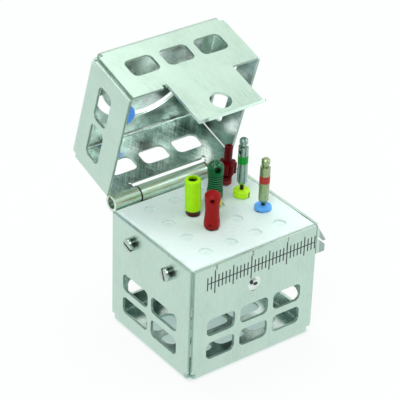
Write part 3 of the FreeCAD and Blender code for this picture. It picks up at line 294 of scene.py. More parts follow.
def brushed_steel(name, settings, middle, half, turn=0.0, pivot=(0, 0, 0), inner=0.8,
                  cut=0.5, lugs=1.0):
    """Sheet steel: brushing marks, cloudy patches, and painted shade on the cut edges and inner
    skin.

    Middle and half give the outside box in millimetres, turned round the pivot. Inner, cut and
    lugs are how bright the inner skin, the cut edges and the lugs are painted beside the outer
    skin, as painted shade; the inner skin has rubbing marks under painted shade and reflections.
    """
    material = new_material(name)
    tree = Tree(material)
    tilt = (turn, 0, 0)
    shift = -(Matrix.Rotation(turn, 3, "X") @ (Vector(pivot) / MM))
    where = tree.place(turn=tilt, shift=shift)
    depth = skin_depth(tree.split(where), middle, half, settings.bend / MM)
    inside = ((depth - 0.22) * 4.0).clamped()
    edge = ((depth - 0.12) * 8.0).clamped() * ((SHEET - 0.08 - depth) * 12.0).clamped()
    per_mm = settings.grain
    grain = tree.noise(tree.place((per_mm, per_mm, per_mm * 0.035), tilt), 1.0, 4.0, 0.6)
    fine = tree.noise(tree.place((per_mm * 2.6, per_mm * 2.6, 0.22), tilt), 1.0, 2.0)
    slanted = tree.noise(tree.place((5.0, 5.0, 0.3), (turn, math.radians(34), 0)), 1.0, 3.0)
    crossed = tree.noise(tree.place((6.0, 6.0, 0.2), (turn, math.radians(-38), 0)), 1.0, 4.0, 0.6)
    cloud = tree.noise(where, 0.13, 3.0, 0.5)
    stain = tree.noise(where, 0.6, 2.0, 0.5)
    streaks = grain * 0.5 + fine * 0.25 + slanted * 0.25
    # Large dark and light patches inside the sheet: painted shade and painted reflections over
    # rubbing marks
    rubs_and_painted_light = ((crossed - 0.5) * 1.2 + (slanted - 0.5) * 0.7 + (cloud - 0.5) * 2.3) * inside
    tone = (streaks - 0.5) * settings.streak + (cloud - 0.5) * 0.3 + (stain - 0.5) * 0.1
    level = (tone + rubs_and_painted_light + 0.5).clamped()
    plain = tree.ramp(level, [(0.0, shade(settings.steel, 0.62)), (0.5, rgba(settings.steel)),
                              (1.0, shade(settings.steel, 1.2))])
    # Inner skin: wear, painted darker and lighter as painted shade and reflections
    wear_and_painted_shade = tree.ramp(level, [(0.0, shade(settings.skin, inner * 0.22)),
                             (0.5, shade(settings.skin, inner)),
                             (1.0, shade(settings.skin, inner * 1.5))])
    # Cut edges painted darker: painted shade
    color = tree.mix(edge * 0.75, tree.mix(inside, plain, wear_and_painted_shade), shade(settings.steel, cut))
    # Lugs beyond the side wall painted darker: painted shade on the same sheet
    lug = ((tree.split(where)[0] - half[0] - 0.1) * 4.0).clamped()
    color = tree.mix(lug * (1.0 - lugs), color, shade(settings.steel, 0.12))
    # Rolled knuckles round the hinge's line: painted lighter as a highlight, streaked with painted
    # golden reflections, painted dark shadow where their ends meet
    x, y, z = tree.split(tree.place())
    away = ((y - HINGE_POINT.y / MM) ** 2.0 + (z - HINGE_POINT.z / MM) ** 2.0) ** 0.5
    rolled = ((settings.knuckle / MM - away) * 6.0).clamped()
    lighter = tree.mix(rolled * 0.6, color, shade(settings.steel, 1.35))
    gold_streaks = ((tree.noise(tree.place((0.25, 1.6, 1.6)), 1.0, 2.0) - 0.42) * 5.0).clamped()
    color = tree.mix(rolled * gold_streaks * 0.55, lighter, GOLD_REFLECTION)
    meet = ((0.26 - (x.size() - settings.meeting / MM).size()) * 8.0).clamped()
    color = tree.mix(rolled * meet * 0.92, color, GAP_SHADOW)
    rough = (settings.roughness - inside * 0.08 + edge * 0.3 + (streaks - 0.5) * 0.16
             + (cloud - 0.5) * 0.1).most(0.08)
    tree.surface(Base_Color=color, Metallic=1.0, Roughness=rough,
                 Normal=tree.bump(streaks + rubs_and_painted_light * 0.2, 0.000012, 0.6))
    return material


def turned_steel(name, color, roughness, rings=9.0, dirt=0.25, spots=()):
    """Turned or drawn metal: circular marks, slight tarnish and painted dark spots, such as
    painted reflections and shade.

    Each spot is the arguments of Tree.spot.
    """
    material = new_material(name)
    tree = Tree(material)
    marks = tree.noise(tree.place((0.6, 0.6, rings)), 1.0, 3.0, 0.6)
    tarnish = tree.noise(tree.place(), 0.9, 4.0, 0.6)
    tone = tree.ramp(tarnish, [(0.25, shade(color, 1.0 - dirt)), (0.6, rgba(color))])
    for spot in spots:
        tone = tree.mix(tree.spot(*spot), tone, shade(color, 0.06))
    rough = roughness + (marks - 0.5) * 0.18 + (tarnish - 0.5) * 0.08
    tree.surface(Base_Color=tone, Metallic=1.0, Roughness=rough,
                 Normal=tree.bump(marks, 0.00001, 0.5))
    return material


def silicone(name, color, roughness, glow=0.0, places=None):
    """Soft matt silicone: cloudy, with specks of dust, a fine pebbled skin, and a faint glow of
    painted light where glow is given.

    Places are the pitch and the radius of a grid of softly darker spots, painted shade in the
    dimples, in millimetres.
    """
    material = new_material(name)
    tree = Tree(material)
    where = tree.place()
    cloud = tree.noise(where, 0.12, 3.0, 0.5)
    skin = tree.noise(where, 3.5, 3.0, 0.6)
    speck = tree.noise(where, 1.7, 1.0, 0.4)
    base = tree.mix(cloud, shade(color, 0.96), shade(color, 1.03))
    marked = tree.mix(((speck - 0.66) * 9.0).most(0.0).least(0.35), base, shade(color, 0.8))
    if places:
        pitch, radius = places
        x, y, _ = tree.split(where)
        across = ((x / pitch).fraction() - 0.5) * pitch
        along = ((y / pitch).fraction() - 0.5) * pitch
        away = (across ** 2.0 + along ** 2.0) ** 0.5 / radius
        # Painted shade: a soft darker spot in each place's dimple
        marked = tree.mix((1.0 - away).clamped() * 0.4, marked, shade(color, 0.78))
    tree.surface(Base_Color=marked, Roughness=roughness + (skin - 0.5) * 0.12,
                 Emission_Color=marked, Emission_Strength=glow,
                 Normal=tree.bump(skin, 0.00002, 0.5))
    return material


def moulded(name, color, roughness, shine=0.5, coat=0.0, streak=0.0, glint_amount=0.0, above=0.0,
            ribs=None, spots=()):
    """Moulded plastic: flow lines, wear, an uneven skin and dark spots, with painted glints and
    painted shading of ribs.

    Painted glints lie only above the given height. Ribs are the lowest groove's height, the pitch
    and the number of grooves; grooves get painted shade, crests painted highlights. Each spot is
    the arguments of Tree.spot.
    """
    material = new_material(name)
    tree = Tree(material)
    where = tree.place()
    flow = tree.noise(tree.place((5.0, 5.0, 0.5)), 1.0, 3.0, 0.55)
    skin = tree.noise(where, 6.0, 3.0, 0.6)
    wear_and_painted_shade = tree.noise(where, 1.1, 4.0, 0.6)
    level = (wear_and_painted_shade - 0.5) * 0.5 + (flow - 0.5) * streak + 0.5
    tone = tree.ramp(level, [(0.15, shade(color, 0.72)), (0.5, rgba(color)),
                             (0.95, shade(color, 1.18))])
    # Painted glints: light specks on the dome
    if glint_amount:
        glint_noise = tree.noise(where, 3.4, 1.0, 0.3)
        high = ((tree.split(where)[2] - above) * 1.5).clamped()
        bright = ((glint_noise - 0.56) * 12.0).clamped() * high * glint_amount
        tone = tree.mix(bright, tone, GLINT)
    # Ribs: painted shade in the grooves, painted highlights on the crests
    if ribs:
        low, pitch, count = ribs
        along = (tree.split(where)[2] - low) / pitch
        wave = (along * (2 * math.pi)).cosine()
        here = ((along + 0.5) * 9.0).clamped() * ((count - 0.5 - along) * 9.0).clamped()
        tone = tree.mix((wave * 1.5 - 0.2).clamped() * here * 0.85, tone, shade(color, 0.12))
        tone = tree.mix((wave * -1.5 - 0.5).clamped() * here * (flow - 0.2).clamped() * 0.8,
                        tone, RIB_HIGHLIGHT)
    for spot in spots:
        tone = tree.mix(tree.spot(*spot), tone, shade(color, 0.03))
    inputs = {"Base_Color": tone, "Roughness": roughness + (skin - 0.5) * 0.2,
              "Specular_IOR_Level": shine, "Normal": tree.bump(skin, 0.000025, 0.5)}
    if coat:
        inputs["Coat_Weight"] = coat
        inputs["Coat_Roughness"] = 0.08
    tree.surface(**inputs)
    return material


def ink(name, color):
    """Etched or printed black with slightly broken edges."""
    material = new_material(name)
    tree = Tree(material)
    wear = tree.noise(tree.place(), 5.0, 3.0, 0.6)
    tone = tree.ramp(wear, [(0.3, rgba(color)), (0.75, shade(color, 1.6))])
    tree.surface(Base_Color=tone, Roughness=0.5 + (wear - 0.5) * 0.2,
                 Normal=tree.bump(wear, 0.00001, 0.4))
    return material


# Settings


class SteelSettings(bpy.types.PropertyGroup):
    """Finish of the folded sheet."""

    steel: bpy.props.FloatVectorProperty(
        name="Steel", description="Colour of the brushed sheet", subtype="COLOR", size=3,
        default=(0.53, 0.69, 0.605), min=0.0, max=1.0)
    skin: bpy.props.FloatVectorProperty(
        name="Inner skin", description="Colour of the sheet's inner skin", subtype="COLOR",
        size=3, default=(0.57, 0.69, 0.64), min=0.0, max=1.0)
    roughness: bpy.props.FloatProperty(
        name="Roughness", description="Mean roughness of the sheet", subtype="FACTOR",
        default=0.29, min=0.05, max=1.0)
    width: bpy.props.FloatProperty(
        name="Width", description="Outside of the box, left to right", unit="LENGTH",
        default=35.5 * MM)
    depth: bpy.props.FloatProperty(
        name="Depth", description="Outside of the box, front to back", unit="LENGTH",
        default=31.0 * MM)
    lid_rim: bpy.props.FloatProperty(
        name="Lid rim", description="Rim of the level lid above the hinge's axis", unit="LENGTH",
        default=0.8 * MM)
    lid_height: bpy.props.FloatProperty(
        name="Lid height", description="From the lid's rim to its top", unit="LENGTH",
        default=15.7 * MM)
    knuckle: bpy.props.FloatProperty(
        name="Knuckle", description="Radius that takes in the rolled knuckles", unit="LENGTH",
        default=2.2 * MM)
    meeting: bpy.props.FloatProperty(
        name="Meeting", description="Where knuckles meet, left and right of the middle",
        unit="LENGTH", default=9.5 * MM)
    bend: bpy.props.FloatProperty(
        name="Bend", description="Outside radius of the bends", unit="LENGTH", default=1.4 * MM)
    grain: bpy.props.FloatProperty(
        name="Grain", description="Brushing marks per millimetre", default=7.0, min=0.5, max=30.0)
    streak: bpy.props.FloatProperty(
        name="Streak", description="Contrast of the brushing", subtype="FACTOR",
        default=0.9, min=0.0, max=2.0)


class RulerSettings(bpy.types.PropertyGroup):
    """The millimetre ruler on the front wall."""

    zero_x: bpy.props.FloatProperty(
        name="Zero", description="Where the scale would start, along X", unit="LENGTH",
        default=18.56 * MM)
    line_z: bpy.props.FloatProperty(
        name="Line height", description="Height of the long line", unit="LENGTH",
        default=25.17 * MM)
    first: bpy.props.IntProperty(name="First", description="First tick, in millimetres", default=2)
    last: bpy.props.IntProperty(name="Last", description="Last tick, in millimetres", default=32)
    short: bpy.props.FloatProperty(
        name="Short tick", description="Length of a millimetre tick", unit="LENGTH",
        default=3.4 * MM)
    middle: bpy.props.FloatProperty(
        name="Middle tick", description="Length of a five millimetre tick", unit="LENGTH",
        default=5.0 * MM)
    long: bpy.props.FloatProperty(
        name="Long tick", description="Length of a ten millimetre tick", unit="LENGTH",
        default=5.9 * MM)
    stroke: bpy.props.FloatProperty(
        name="Stroke", description="Width of a tick", unit="LENGTH", default=0.32 * MM)
    proud: bpy.props.FloatProperty(
        name="Proud", description="Height of the ink above the wall", unit="LENGTH",
        default=0.015 * MM)
    numeral: bpy.props.FloatProperty(
        name="Numeral", description="Height of the numerals", unit="LENGTH", default=1.15 * MM)
    ink: bpy.props.FloatVectorProperty(
        name="Ink", description="Colour of the ruler", subtype="COLOR", size=3,
        default=(0.008, 0.016, 0.016), min=0.0, max=1.0)


class SoftSettings(bpy.types.PropertyGroup):
    """Silicone pieces."""

    block: bpy.props.FloatVectorProperty(
        name="Block", description="Colour of the block", subtype="COLOR", size=3,
        default=(0.71, 0.84, 0.82), min=0.0, max=1.0)
    # Set brighter than the marker's own blue: painted light, as it lies in the lid's shade
    marker: bpy.props.FloatVectorProperty(
        name="Marker", description="Colour of the lid's marker", subtype="COLOR", size=3,
        default=(0.09, 0.33, 1.0), min=0.0, max=1.0)
    pitch: bpy.props.FloatProperty(
        name="Pitch", description="Between the block's places for instruments", unit="LENGTH",
        default=6.9 * MM)
    # The spot in each place is painted shade in its dimple
    place: bpy.props.FloatProperty(
        name="Place", description="Radius of the worn spot in each place", unit="LENGTH",
        default=1.9 * MM)
    roughness: bpy.props.FloatProperty(
        name="Roughness", description="Roughness of silicone", subtype="FACTOR",
        default=0.55, min=0.05, max=1.0)


class HandleSettings(bpy.types.PropertyGroup):
    """Colours of the instruments."""

    yellow: bpy.props.FloatVectorProperty(
        name="Yellow green", description="Plain handle and one stop", subtype="COLOR", size=3,
        default=(0.42, 0.88, 0.0), min=0.0, max=1.0)
    red: bpy.props.FloatVectorProperty(
        name="Red", description="Waisted handle", subtype="COLOR", size=3,
        default=(0.31, 0.005, 0.004), min=0.0, max=1.0)
    green: bpy.props.FloatVectorProperty(
        name="Green", description="Ribbed handle", subtype="COLOR", size=3,
        default=(0.001, 0.125, 0.036), min=0.0, max=1.0)
    rib_drop: bpy.props.FloatProperty(
        name="Rib drop", description="Lowest groove of the green handle below its top",
        unit="LENGTH", default=7.1 * MM)
    dark_red: bpy.props.FloatVectorProperty(
        name="Dark red", description="Lobed handle", subtype="COLOR", size=3,
        default=(0.15, 0.002, 0.006), min=0.0, max=1.0)
    steel: bpy.props.FloatVectorProperty(
        name="Shank steel", description="Shank of the steel drill", subtype="COLOR", size=3,
        default=(0.35, 0.48, 0.43), min=0.0, max=1.0)
    brass: bpy.props.FloatVectorProperty(
        name="Shank brass", description="Shank of the gilded drill", subtype="COLOR", size=3,
        default=(0.35, 0.45, 0.25), min=0.0, max=1.0)


class StudioSettings(bpy.types.PropertyGroup):
    """Camera, lamps and floor."""

    azimuth: bpy.props.FloatProperty(
        name="Azimuth", description="Heading of the view from +Y towards +X", subtype="ANGLE",
        default=math.radians(37.594))
    elevation: bpy.props.FloatProperty(
        name="Elevation", description="Downward angle of the view", subtype="ANGLE",
        default=math.radians(31.872))
    roll: bpy.props.FloatProperty(
        name="Roll", description="Turn of the picture", subtype="ANGLE",
        default=math.radians(1.964))
    distance: bpy.props.FloatProperty(
        name="Distance", description="From the camera to its target", unit="LENGTH",
        default=404.09 * MM)
    target: bpy.props.FloatVectorProperty(
        name="Target", description="Point in the middle of the picture", subtype="XYZ", size=3,
        unit="LENGTH", default=(-4.41 * MM, 0.0, 35.572 * MM))
    lens: bpy.props.FloatProperty(
        name="Lens", description="Focal length in millimetres on a 36 mm frame", default=164.32)
    sky: bpy.props.FloatProperty(
        name="Sky", description="Brightness of the room overhead", default=1.0, min=0.0)


# Operators


class FILEBOX_OT_sheet(bpy.types.Operator):
    """Brushed steel on the folded base and lid"""

    bl_idname = "filebox.sheet"
    bl_label = "Folded sheet"

    def execute(self, context):
        settings = context.scene.filebox_steel
        across, deep = settings.width / MM / 2, settings.depth / MM / 2
        # Each box is far longer than the sheet on its open side, so only the walls are skin
        half = (across, deep, FAR)
        dress(brushed_steel("base_sheet", settings, (0, 0, FAR), half, inner=1.0, cut=0.95,
                            lugs=0.6), "base_shell")
        top = (settings.lid_rim + settings.lid_height) / MM
        dress(brushed_steel("lid_sheet", settings, (0, -HINGE_POINT.y / MM, top - FAR), half,
                            OPEN_ANGLE, HINGE_POINT, inner=1.0, cut=0.55), "lid_shell")
        return {"FINISHED"}


class FILEBOX_OT_fittings(bpy.types.Operator):
    """Bright steel on the pin, the stud and the screws"""

    bl_idname = "filebox.fittings"
    bl_label = "Pin, stud and screws"

    def execute(self, context):
        # Heads mirror the dark room beside the walls on their inner half
        for name in ("block_screw_left_front", "block_screw_left_rear",
                     "block_screw_right_front", "block_screw_right_rear"):
            low, high = (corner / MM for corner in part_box(name))
            side = -1 if low.x < 0 else 1
            face = context.scene.filebox_steel.width / MM / 2 * side
            middle = (face + side * 0.35, (low.y + high.y) / 2 - 0.9, (low.z + high.z) / 2 + 0.9)
            dress(turned_steel(name + "_steel", SCREW, 0.2, rings=3.0,
                               spots=[(middle, (0.75, 1.25, 1.35), 2.5, 0.95)]), name)
        # Painted on the dome, in three separate patches: two dark reflections of the room and a
        # thin crescent of shadow at its foot
        low, high = (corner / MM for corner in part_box("snap_stud"))
        middle = (low + high) / 2
        dress(turned_steel("stud_steel", STUD, 0.34, rings=3.0, spots=[
            ((middle.x - 1.15, low.y + 0.2, middle.z + 1.0), (0.5, 0.9, 0.65), 2.5, 0.98),
            ((middle.x - 0.2, low.y + 0.2, middle.z + 0.45), (0.7, 0.9, 0.45), 2.5, 0.98),
            ((middle.x - 0.6, low.y + 0.3, middle.z - 1.75), (1.5, 0.8, 0.4), 2.0, 0.85)]),
              "snap_stud")
        dress(turned_steel("pin_steel", PIN, 0.4), "hinge_pin")
        return {"FINISHED"}


def ruler_tree(material):
    """Geometry Nodes: ticks stepped along a line, longer at each fifth and tenth, and the line."""
    tree = bpy.data.node_groups.new("ruler_ticks", "GeometryNodeTree")
    inputs = {}
    for name, kind in (("First", "NodeSocketInt"), ("Last", "NodeSocketInt"),
                       ("Step", "NodeSocketFloat"), ("Short", "NodeSocketFloat"),
                       ("Middle", "NodeSocketFloat"), ("Long", "NodeSocketFloat"),
                       ("Stroke", "NodeSocketFloat"), ("Proud", "NodeSocketFloat")):
        inputs[name] = tree.interface.new_socket(name, in_out="INPUT", socket_type=kind)
    tree.interface.new_socket("Geometry", in_out="OUTPUT", socket_type="NodeSocketGeometry")
    given = tree.nodes.new("NodeGroupInput")
    result = tree.nodes.new("NodeGroupOutput")

    def add(kind, settings=None, links=None):
        node = tree.nodes.new(kind)
        for name, setting in (settings or {}).items():
            setattr(node, name, setting)
        for name, source in (links or {}).items():
            if isinstance(source, bpy.types.NodeSocket):
                tree.links.new(source, node.inputs[name])
            else:
                node.inputs[name].default_value = source
        return node

    def sum_of(operation, first, second):
        return add("ShaderNodeMath", {"operation": operation}, {0: first, 1: second}).outputs[0]

    count = sum_of("ADD", sum_of("SUBTRACT", given.outputs["Last"], given.outputs["First"]), 1.0)
    step = add("ShaderNodeCombineXYZ", None,
               {0: sum_of("MULTIPLY", given.outputs["Step"], -1.0)}).outputs[0]
    begin = add("ShaderNodeCombineXYZ", None, {0: sum_of(
        "MULTIPLY", sum_of("MULTIPLY", given.outputs["First"], given.outputs["Step"]), -1.0)})
    line = add("GeometryNodeMeshLine", {"mode": "OFFSET"},
               {"Count": count, "Start Location": begin.outputs[0], "Offset": step})
    number = sum_of("ADD", add("GeometryNodeInputIndex").outputs[0], given.outputs["First"])
    fifth = sum_of("LESS_THAN", sum_of("MODULO", number, 5.0), 0.5)
    tenth = sum_of("LESS_THAN", sum_of("MODULO", number, 10.0), 0.5)
    middle = sum_of("MULTIPLY", fifth,
                    sum_of("SUBTRACT", given.outputs["Middle"], given.outputs["Short"]))
    long = sum_of("MULTIPLY", tenth,
                  sum_of("SUBTRACT", given.outputs["Long"], given.outputs["Middle"]))
    height = sum_of("ADD", given.outputs["Short"], sum_of("ADD", middle, long))
    size = add("ShaderNodeCombineXYZ", None,
               {0: given.outputs["Stroke"], 1: given.outputs["Proud"], 2: height})
    cube = add("GeometryNodeMeshCube", None, {"Size": (1.0, 1.0, 1.0)})
    ticks = add("GeometryNodeInstanceOnPoints", None,
                {"Points": line.outputs[0], "Instance": cube.outputs[0], "Scale": size.outputs[0]})
    # The long line runs through all the ticks
    span = sum_of("MULTIPLY", given.outputs["Step"],
                  sum_of("SUBTRACT", given.outputs["Last"], given.outputs["First"]))
    bar = add("GeometryNodeMeshCube", None, {"Size": add(
        "ShaderNodeCombineXYZ", None,
        {0: sum_of("ADD", span, given.outputs["Stroke"]),
         1: sum_of("MULTIPLY", given.outputs["Proud"], 0.9),
         2: sum_of("MULTIPLY", given.outputs["Stroke"], 0.8)}).outputs[0]})
    centre = sum_of("MULTIPLY", sum_of("ADD", given.outputs["First"], given.outputs["Last"]), -0.5)
    moved = add("GeometryNodeTransform", None, {
        "Geometry": bar.outputs[0],
        "Translation": add("ShaderNodeCombineXYZ", None, {
            0: sum_of("MULTIPLY", centre, given.outputs["Step"])}).outputs[0]})
    whole = add("GeometryNodeJoinGeometry")
    tree.links.new(ticks.outputs[0], whole.inputs[0])
    tree.links.new(moved.outputs[0], whole.inputs[0])
    real = add("GeometryNodeRealizeInstances", None, {"Geometry": whole.outputs[0]})
    painted = add("GeometryNodeSetMaterial", None,
                  {"Geometry": real.outputs[0], "Material": material})
    tree.links.new(painted.outputs[0], result.inputs[0])
    return tree, {name: socket.identifier for name, socket in inputs.items()}


def plain_mesh(source):
    """A plain copy of an object's evaluated mesh, in world coordinates."""
    bpy.context.view_layer.update()
    evaluated = source.evaluated_get(bpy.context.evaluated_depsgraph_get())
    mesh = bpy.data.meshes.new_from_object(evaluated)
    mesh.transform(source.matrix_world)
    return mesh


class FILEBOX_OT_ruler(bpy.types.Operator):
    """Millimetre ruler with ticks and numerals on the front wall"""

    bl_idname = "filebox.ruler"
    bl_label = "Ruler"

    def execute(self, context):
        settings = context.scene.filebox_ruler
        material = ink("ruler_ink", settings.ink)
        tree, sockets = ruler_tree(material)
        holder = bpy.data.objects.new("ruler_source", bpy.data.meshes.new("ruler_source"))
        context.scene.collection.objects.link(holder)
        modifier = holder.modifiers.new("ticks", "NODES")
        modifier.node_group = tree
        for name, value in (("First", settings.first), ("Last", settings.last), ("Step", MM),
                            ("Short", settings.short), ("Middle", settings.middle),
                            ("Long", settings.long), ("Stroke", settings.stroke),
                            ("Proud", settings.proud)):
            modifier[sockets[name]] = value
        # The ruler lies on the outside of the front wall
        wall_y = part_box("base_shell")[0].y
        holder.location = (settings.zero_x, wall_y, settings.line_z)
        meshes = [plain_mesh(holder)]
        bpy.data.objects.remove(holder)
        for tens in (1, 2, 3):
            text = bpy.data.curves.new("numeral", "FONT")
            text.body = str(tens)
            text.size = settings.numeral * 1.38
            text.extrude = settings.proud / 2
            text.align_x = "CENTER"
            label = bpy.data.objects.new("numeral", text)
            context.scene.collection.objects.link(label)
            label.rotation_euler = (math.radians(90), 0, 0)
            label.location = (settings.zero_x - 10 * tens * MM + 0.25 * MM, wall_y,
                              settings.line_z + settings.long / 2 + 0.12 * MM)
            meshes.append(plain_mesh(label))
            bpy.data.objects.remove(label)
        joined("front_ruler", meshes, material, "base")
        return {"FINISHED"}


class FILEBOX_OT_soft(bpy.types.Operator):
    """Silicone on the block, the marker and the soft stops"""

    bl_idname = "filebox.soft"
    bl_label = "Block and marker"

    def execute(self, context):
        settings = context.scene.filebox_soft
        dress(silicone("block_silicone", settings.block, settings.roughness,
                       places=(settings.pitch / MM, settings.place / MM)), "file_block")
        # The marker glows faintly: painted light on a part that lies in the lid's shade
        dress(silicone("marker_silicone", settings.marker, 0.42, glow=0.25), "slot_marker")
        dress(silicone("blue_stop_silicone", BLUE_STOP, 0.4), "brass_drill_stop")
        dress(silicone("yellow_stop_silicone", YELLOW_STOP, 0.45), "green_file_stop")
        return {"FINISHED"}


class FILEBOX_OT_files(bpy.types.Operator):
    """Moulded plastic on the four hand files"""

    bl_idname = "filebox.files"
    bl_label = "Hand files"

    def execute(self, context):
        colors = context.scene.filebox_handles
        # The sunk top of the yellow handle lies in its own shadow
        crown = [vertex.co / MM for vertex in frame["nodes"]["yellow_file_handle"].data.vertices]
        top = max(point.z for point in crown)
        crown = [point for point in crown if point.z > top - 0.5]
        sunk = ((min(p.x for p in crown) + max(p.x for p in crown)) / 2,
                (min(p.y for p in crown) + max(p.y for p in crown)) / 2, top - 1.2)
        dress(moulded("yellow_plastic", colors.yellow, 0.3, shine=0.15, coat=0.15, streak=0.5,
                      spots=[(sunk, (1.3, 1.3, 1.6), 4.0, 0.97)]),
              "yellow_file_handle")
        dress(moulded("brown_plastic", BROWN_RING, 0.35, shine=0.3), "yellow_file_ring")
        # A small dark spot at the red handle's foot
        low, high = (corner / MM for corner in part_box("red_file_handle"))
        foot = ((low.x + high.x) / 2 - 1.55, (low.y + high.y) / 2 - 1.35, low.z + 1.35)
        dress(moulded("red_plastic", colors.red, 0.42, shine=0.15, streak=0.3,
                      spots=[(foot, (0.5, 0.5, 0.38), 2.0, 0.9)]), "red_file_handle")
        # Painted shade in the grooves round the green waist and highlights on its ribs, painted
        # glints on its dome, painted shade in its cross hole
        low, high = (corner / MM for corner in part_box("green_file_handle"))
        hole = ((low.x + high.x) / 2 - 0.6, (low.y + high.y) / 2 - 1.64, high.z - 1.5)
        dress(moulded("green_plastic", colors.green, 0.26, shine=0.22, glint_amount=0.3,
                      above=high.z - 1.5,
                      ribs=(high.z - colors.rib_drop / MM, GROOVE_PITCH, GROOVES),
                      spots=[(hole, (0.8, 0.8, 0.72), 4.0, 0.95)]),
              "green_file_handle")
        dress(moulded("dark_red_plastic", colors.dark_red, 0.14, shine=0.14),
              "dark_red_file_handle")
        dress(moulded("rose_plastic", ROSE_RING, 0.45, shine=0.3), "dark_red_file_ring")
        shaft = turned_steel("shaft_steel", FILE_SHAFT, 0.38, rings=14.0)
        dress(shaft, "yellow_file_shaft", "red_file_shaft", "green_file_shaft",
              "dark_red_file_shaft")
        return {"FINISHED"}


def arc_patch(centre, radius, low, high, start, end, thick, steps=10):
    """A thin curved patch round an upright axis, closed on all sides."""
    vertices, faces = [], []
    for index in range(steps + 1):
        angle = start + (end - start) * index / steps
        for distance in (radius - thick, radius + thick):
            for z in (low, high):
                vertices.append((centre[0] + distance * math.cos(angle),
                                 centre[1] + distance * math.sin(angle), z))
    for index in range(steps):
        a, b = 4 * index, 4 * (index + 1)
        faces += [(a + 2, b + 2, b + 3, a + 3), (a + 1, b + 1, b, a),
                  (a + 3, b + 3, b + 1, a + 1), (a, b, b + 2, a + 2)]
    last = 4 * steps
    faces += [(0, 2, 3, 1), (last, last + 1, last + 3, last + 2)]
    mesh = bpy.data.meshes.new("patch")
    mesh.from_pydata(vertices, [], faces)
    mesh.update()
    return mesh


class FILEBOX_OT_drills(bpy.types.Operator):
    """Metal shanks, painted bands and marked stops of the two drills"""

    bl_idname = "filebox.drills"
    bl_label = "Drills"

    def execute(self, context):
        colors = context.scene.filebox_handles
        # A dark patch below the latch
        low, high = (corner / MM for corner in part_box("silver_drill_shank"))
        patch = ((low.x + high.x) / 2 - 1.17, (low.y + high.y) / 2 - 0.05, high.z - 3.2)
        dress(turned_steel("silver_shank", colors.steel, 0.24, rings=12.0,
                           spots=[(patch, (0.55, 0.8, 0.5), 2.5, 0.85)]), "silver_drill_shank")
        dress(turned_steel("brass_shank", colors.brass, 0.3, rings=12.0, dirt=0.15),
              "brass_drill_shank")
        dress(turned_steel("dark_shaft", DRILL_SHAFT, 0.4, rings=14.0),
              "silver_drill_shaft", "brass_drill_shaft")
        dress(moulded("green_band", GREEN_BAND, 0.35, shine=0.3), "silver_drill_band")
        dress(moulded("red_band", RED_BAND, 0.4, shine=0.3), "brass_drill_band")
        dress(moulded("lime_stop", LIME_STOP, 0.4, shine=0.3), "silver_drill_stop")
        # Black length mark on the side of the lime stop
        low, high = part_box("silver_drill_stop")
        centre = ((low.x + high.x) / 2, (low.y + high.y) / 2)
        mark = arc_patch(centre, high.x - centre[0], low.z + 0.12 * MM, high.z - 0.38 * MM,
                         math.radians(-73), math.radians(-58), 0.012 * MM)
        joined("stop_mark", [mark], ink("stop_ink", STOP_INK), "base")
        return {"FINISHED"}


class FILEBOX_OT_studio(bpy.types.Operator):
    """Camera, lamps, room and a white floor with painted shade under the box"""

    bl_idname = "filebox.studio"
    bl_label = "Studio"

    def execute(self, context):
        settings = context.scene.filebox_studio
        scene = context.scene
        scene.view_settings.view_transform = "Standard"
        place_camera(scene, settings)
        light_room(scene, settings)
        lay_floor(scene)
        return {"FINISHED"}


def place_camera(scene, settings):
    """The camera stands where the photograph was taken from."""
    azimuth, elevation = settings.azimuth, settings.elevation
    ahead = Vector((math.sin(azimuth) * math.cos(elevation),
                    math.cos(azimuth) * math.cos(elevation), -math.sin(elevation)))
    right = ahead.cross(Vector((0, 0, 1))).normalized()
    up = right.cross(ahead)
    across = math.cos(settings.roll) * right + math.sin(settings.roll) * up
    above = math.cos(settings.roll) * up - math.sin(settings.roll) * right
    camera = bpy.data.objects.new("camera", bpy.data.cameras.new("camera"))
    camera.data.lens = settings.lens
    camera.data.sensor_width = 36.0
    camera.data.sensor_fit = "HORIZONTAL"
    camera.data.clip_start = 0.01
    camera.data.clip_end = 10.0
    turn = Matrix((across, above, -ahead)).transposed().to_4x4()
    camera.matrix_world = Matrix.Translation(
        Vector(settings.target) - settings.distance * ahead) @ turn
    scene.collection.objects.link(camera)
    scene.camera = camera


def light_room(scene, settings):
    """A pale room: bright overhead, dark behind the camera, white where the camera looks."""
    world = bpy.data.worlds.new("room")
    scene.world = world
    tree = Tree(world)
    where = tree.node("ShaderNodeTexCoord").out("Generated")
    x, y, z = tree.split(where)
    # Paper overhead, a dark card behind the camera
    height = z * 0.5 + 0.5
    front = (0.35 - y * 0.75 - x * 0.25).clamped()
    glow = tree.ramp(height, [(0.0, (0.51, 0.53, 0.52, 1)), (0.47, (0.36, 0.39, 0.38, 1)),
                              (0.60, (0.48, 0.52, 0.51, 1)), (0.74, (0.90, 0.92, 0.89, 1)),
                              (1.0, (1.15, 1.16, 1.10, 1))])
    room = tree.mix(front * 0.7, glow, (0.12, 0.14, 0.135, 1))
    # What the camera sees, and metal mirrors, is white paper up to a little above eye level
    overhead = ((z - 0.1) * 5.0).clamped()
    seen = tree.mix(overhead, (1, 1, 1, 1), room)
    lit = tree.node("ShaderNodeBackground", None, {"Color": room, "Strength": settings.sky})
    clean = tree.node("ShaderNodeBackground", None, {"Color": seen, "Strength": 1.0})
    both = tree.node("ShaderNodeMixShader", None, {0: tree.looked_at(), 1: lit, 2: clean})
    tree.node("ShaderNodeOutputWorld", None, [both])
    lamps = (("key_lamp", (-0.35, -0.25, 0.60), 0.35, 2.0),
             ("fill_lamp", (0.45, -0.30, 0.35), 0.40, 0.8),
             ("top_lamp", (0.04, 0.24, 0.70), 0.45, 2.0))
    for name, spot, size, power in lamps:
        data = bpy.data.lights.new(name, "AREA")
        data.shape = "DISK"
        data.size = size
        data.energy = power
        lamp = bpy.data.objects.new(name, data)
        lamp.location = spot
        towards = Vector((0, 0, 0.03)) - Vector(spot)
        lamp.rotation_euler = towards.to_track_quat("-Z", "Y").to_euler()
        scene.collection.objects.link(lamp)


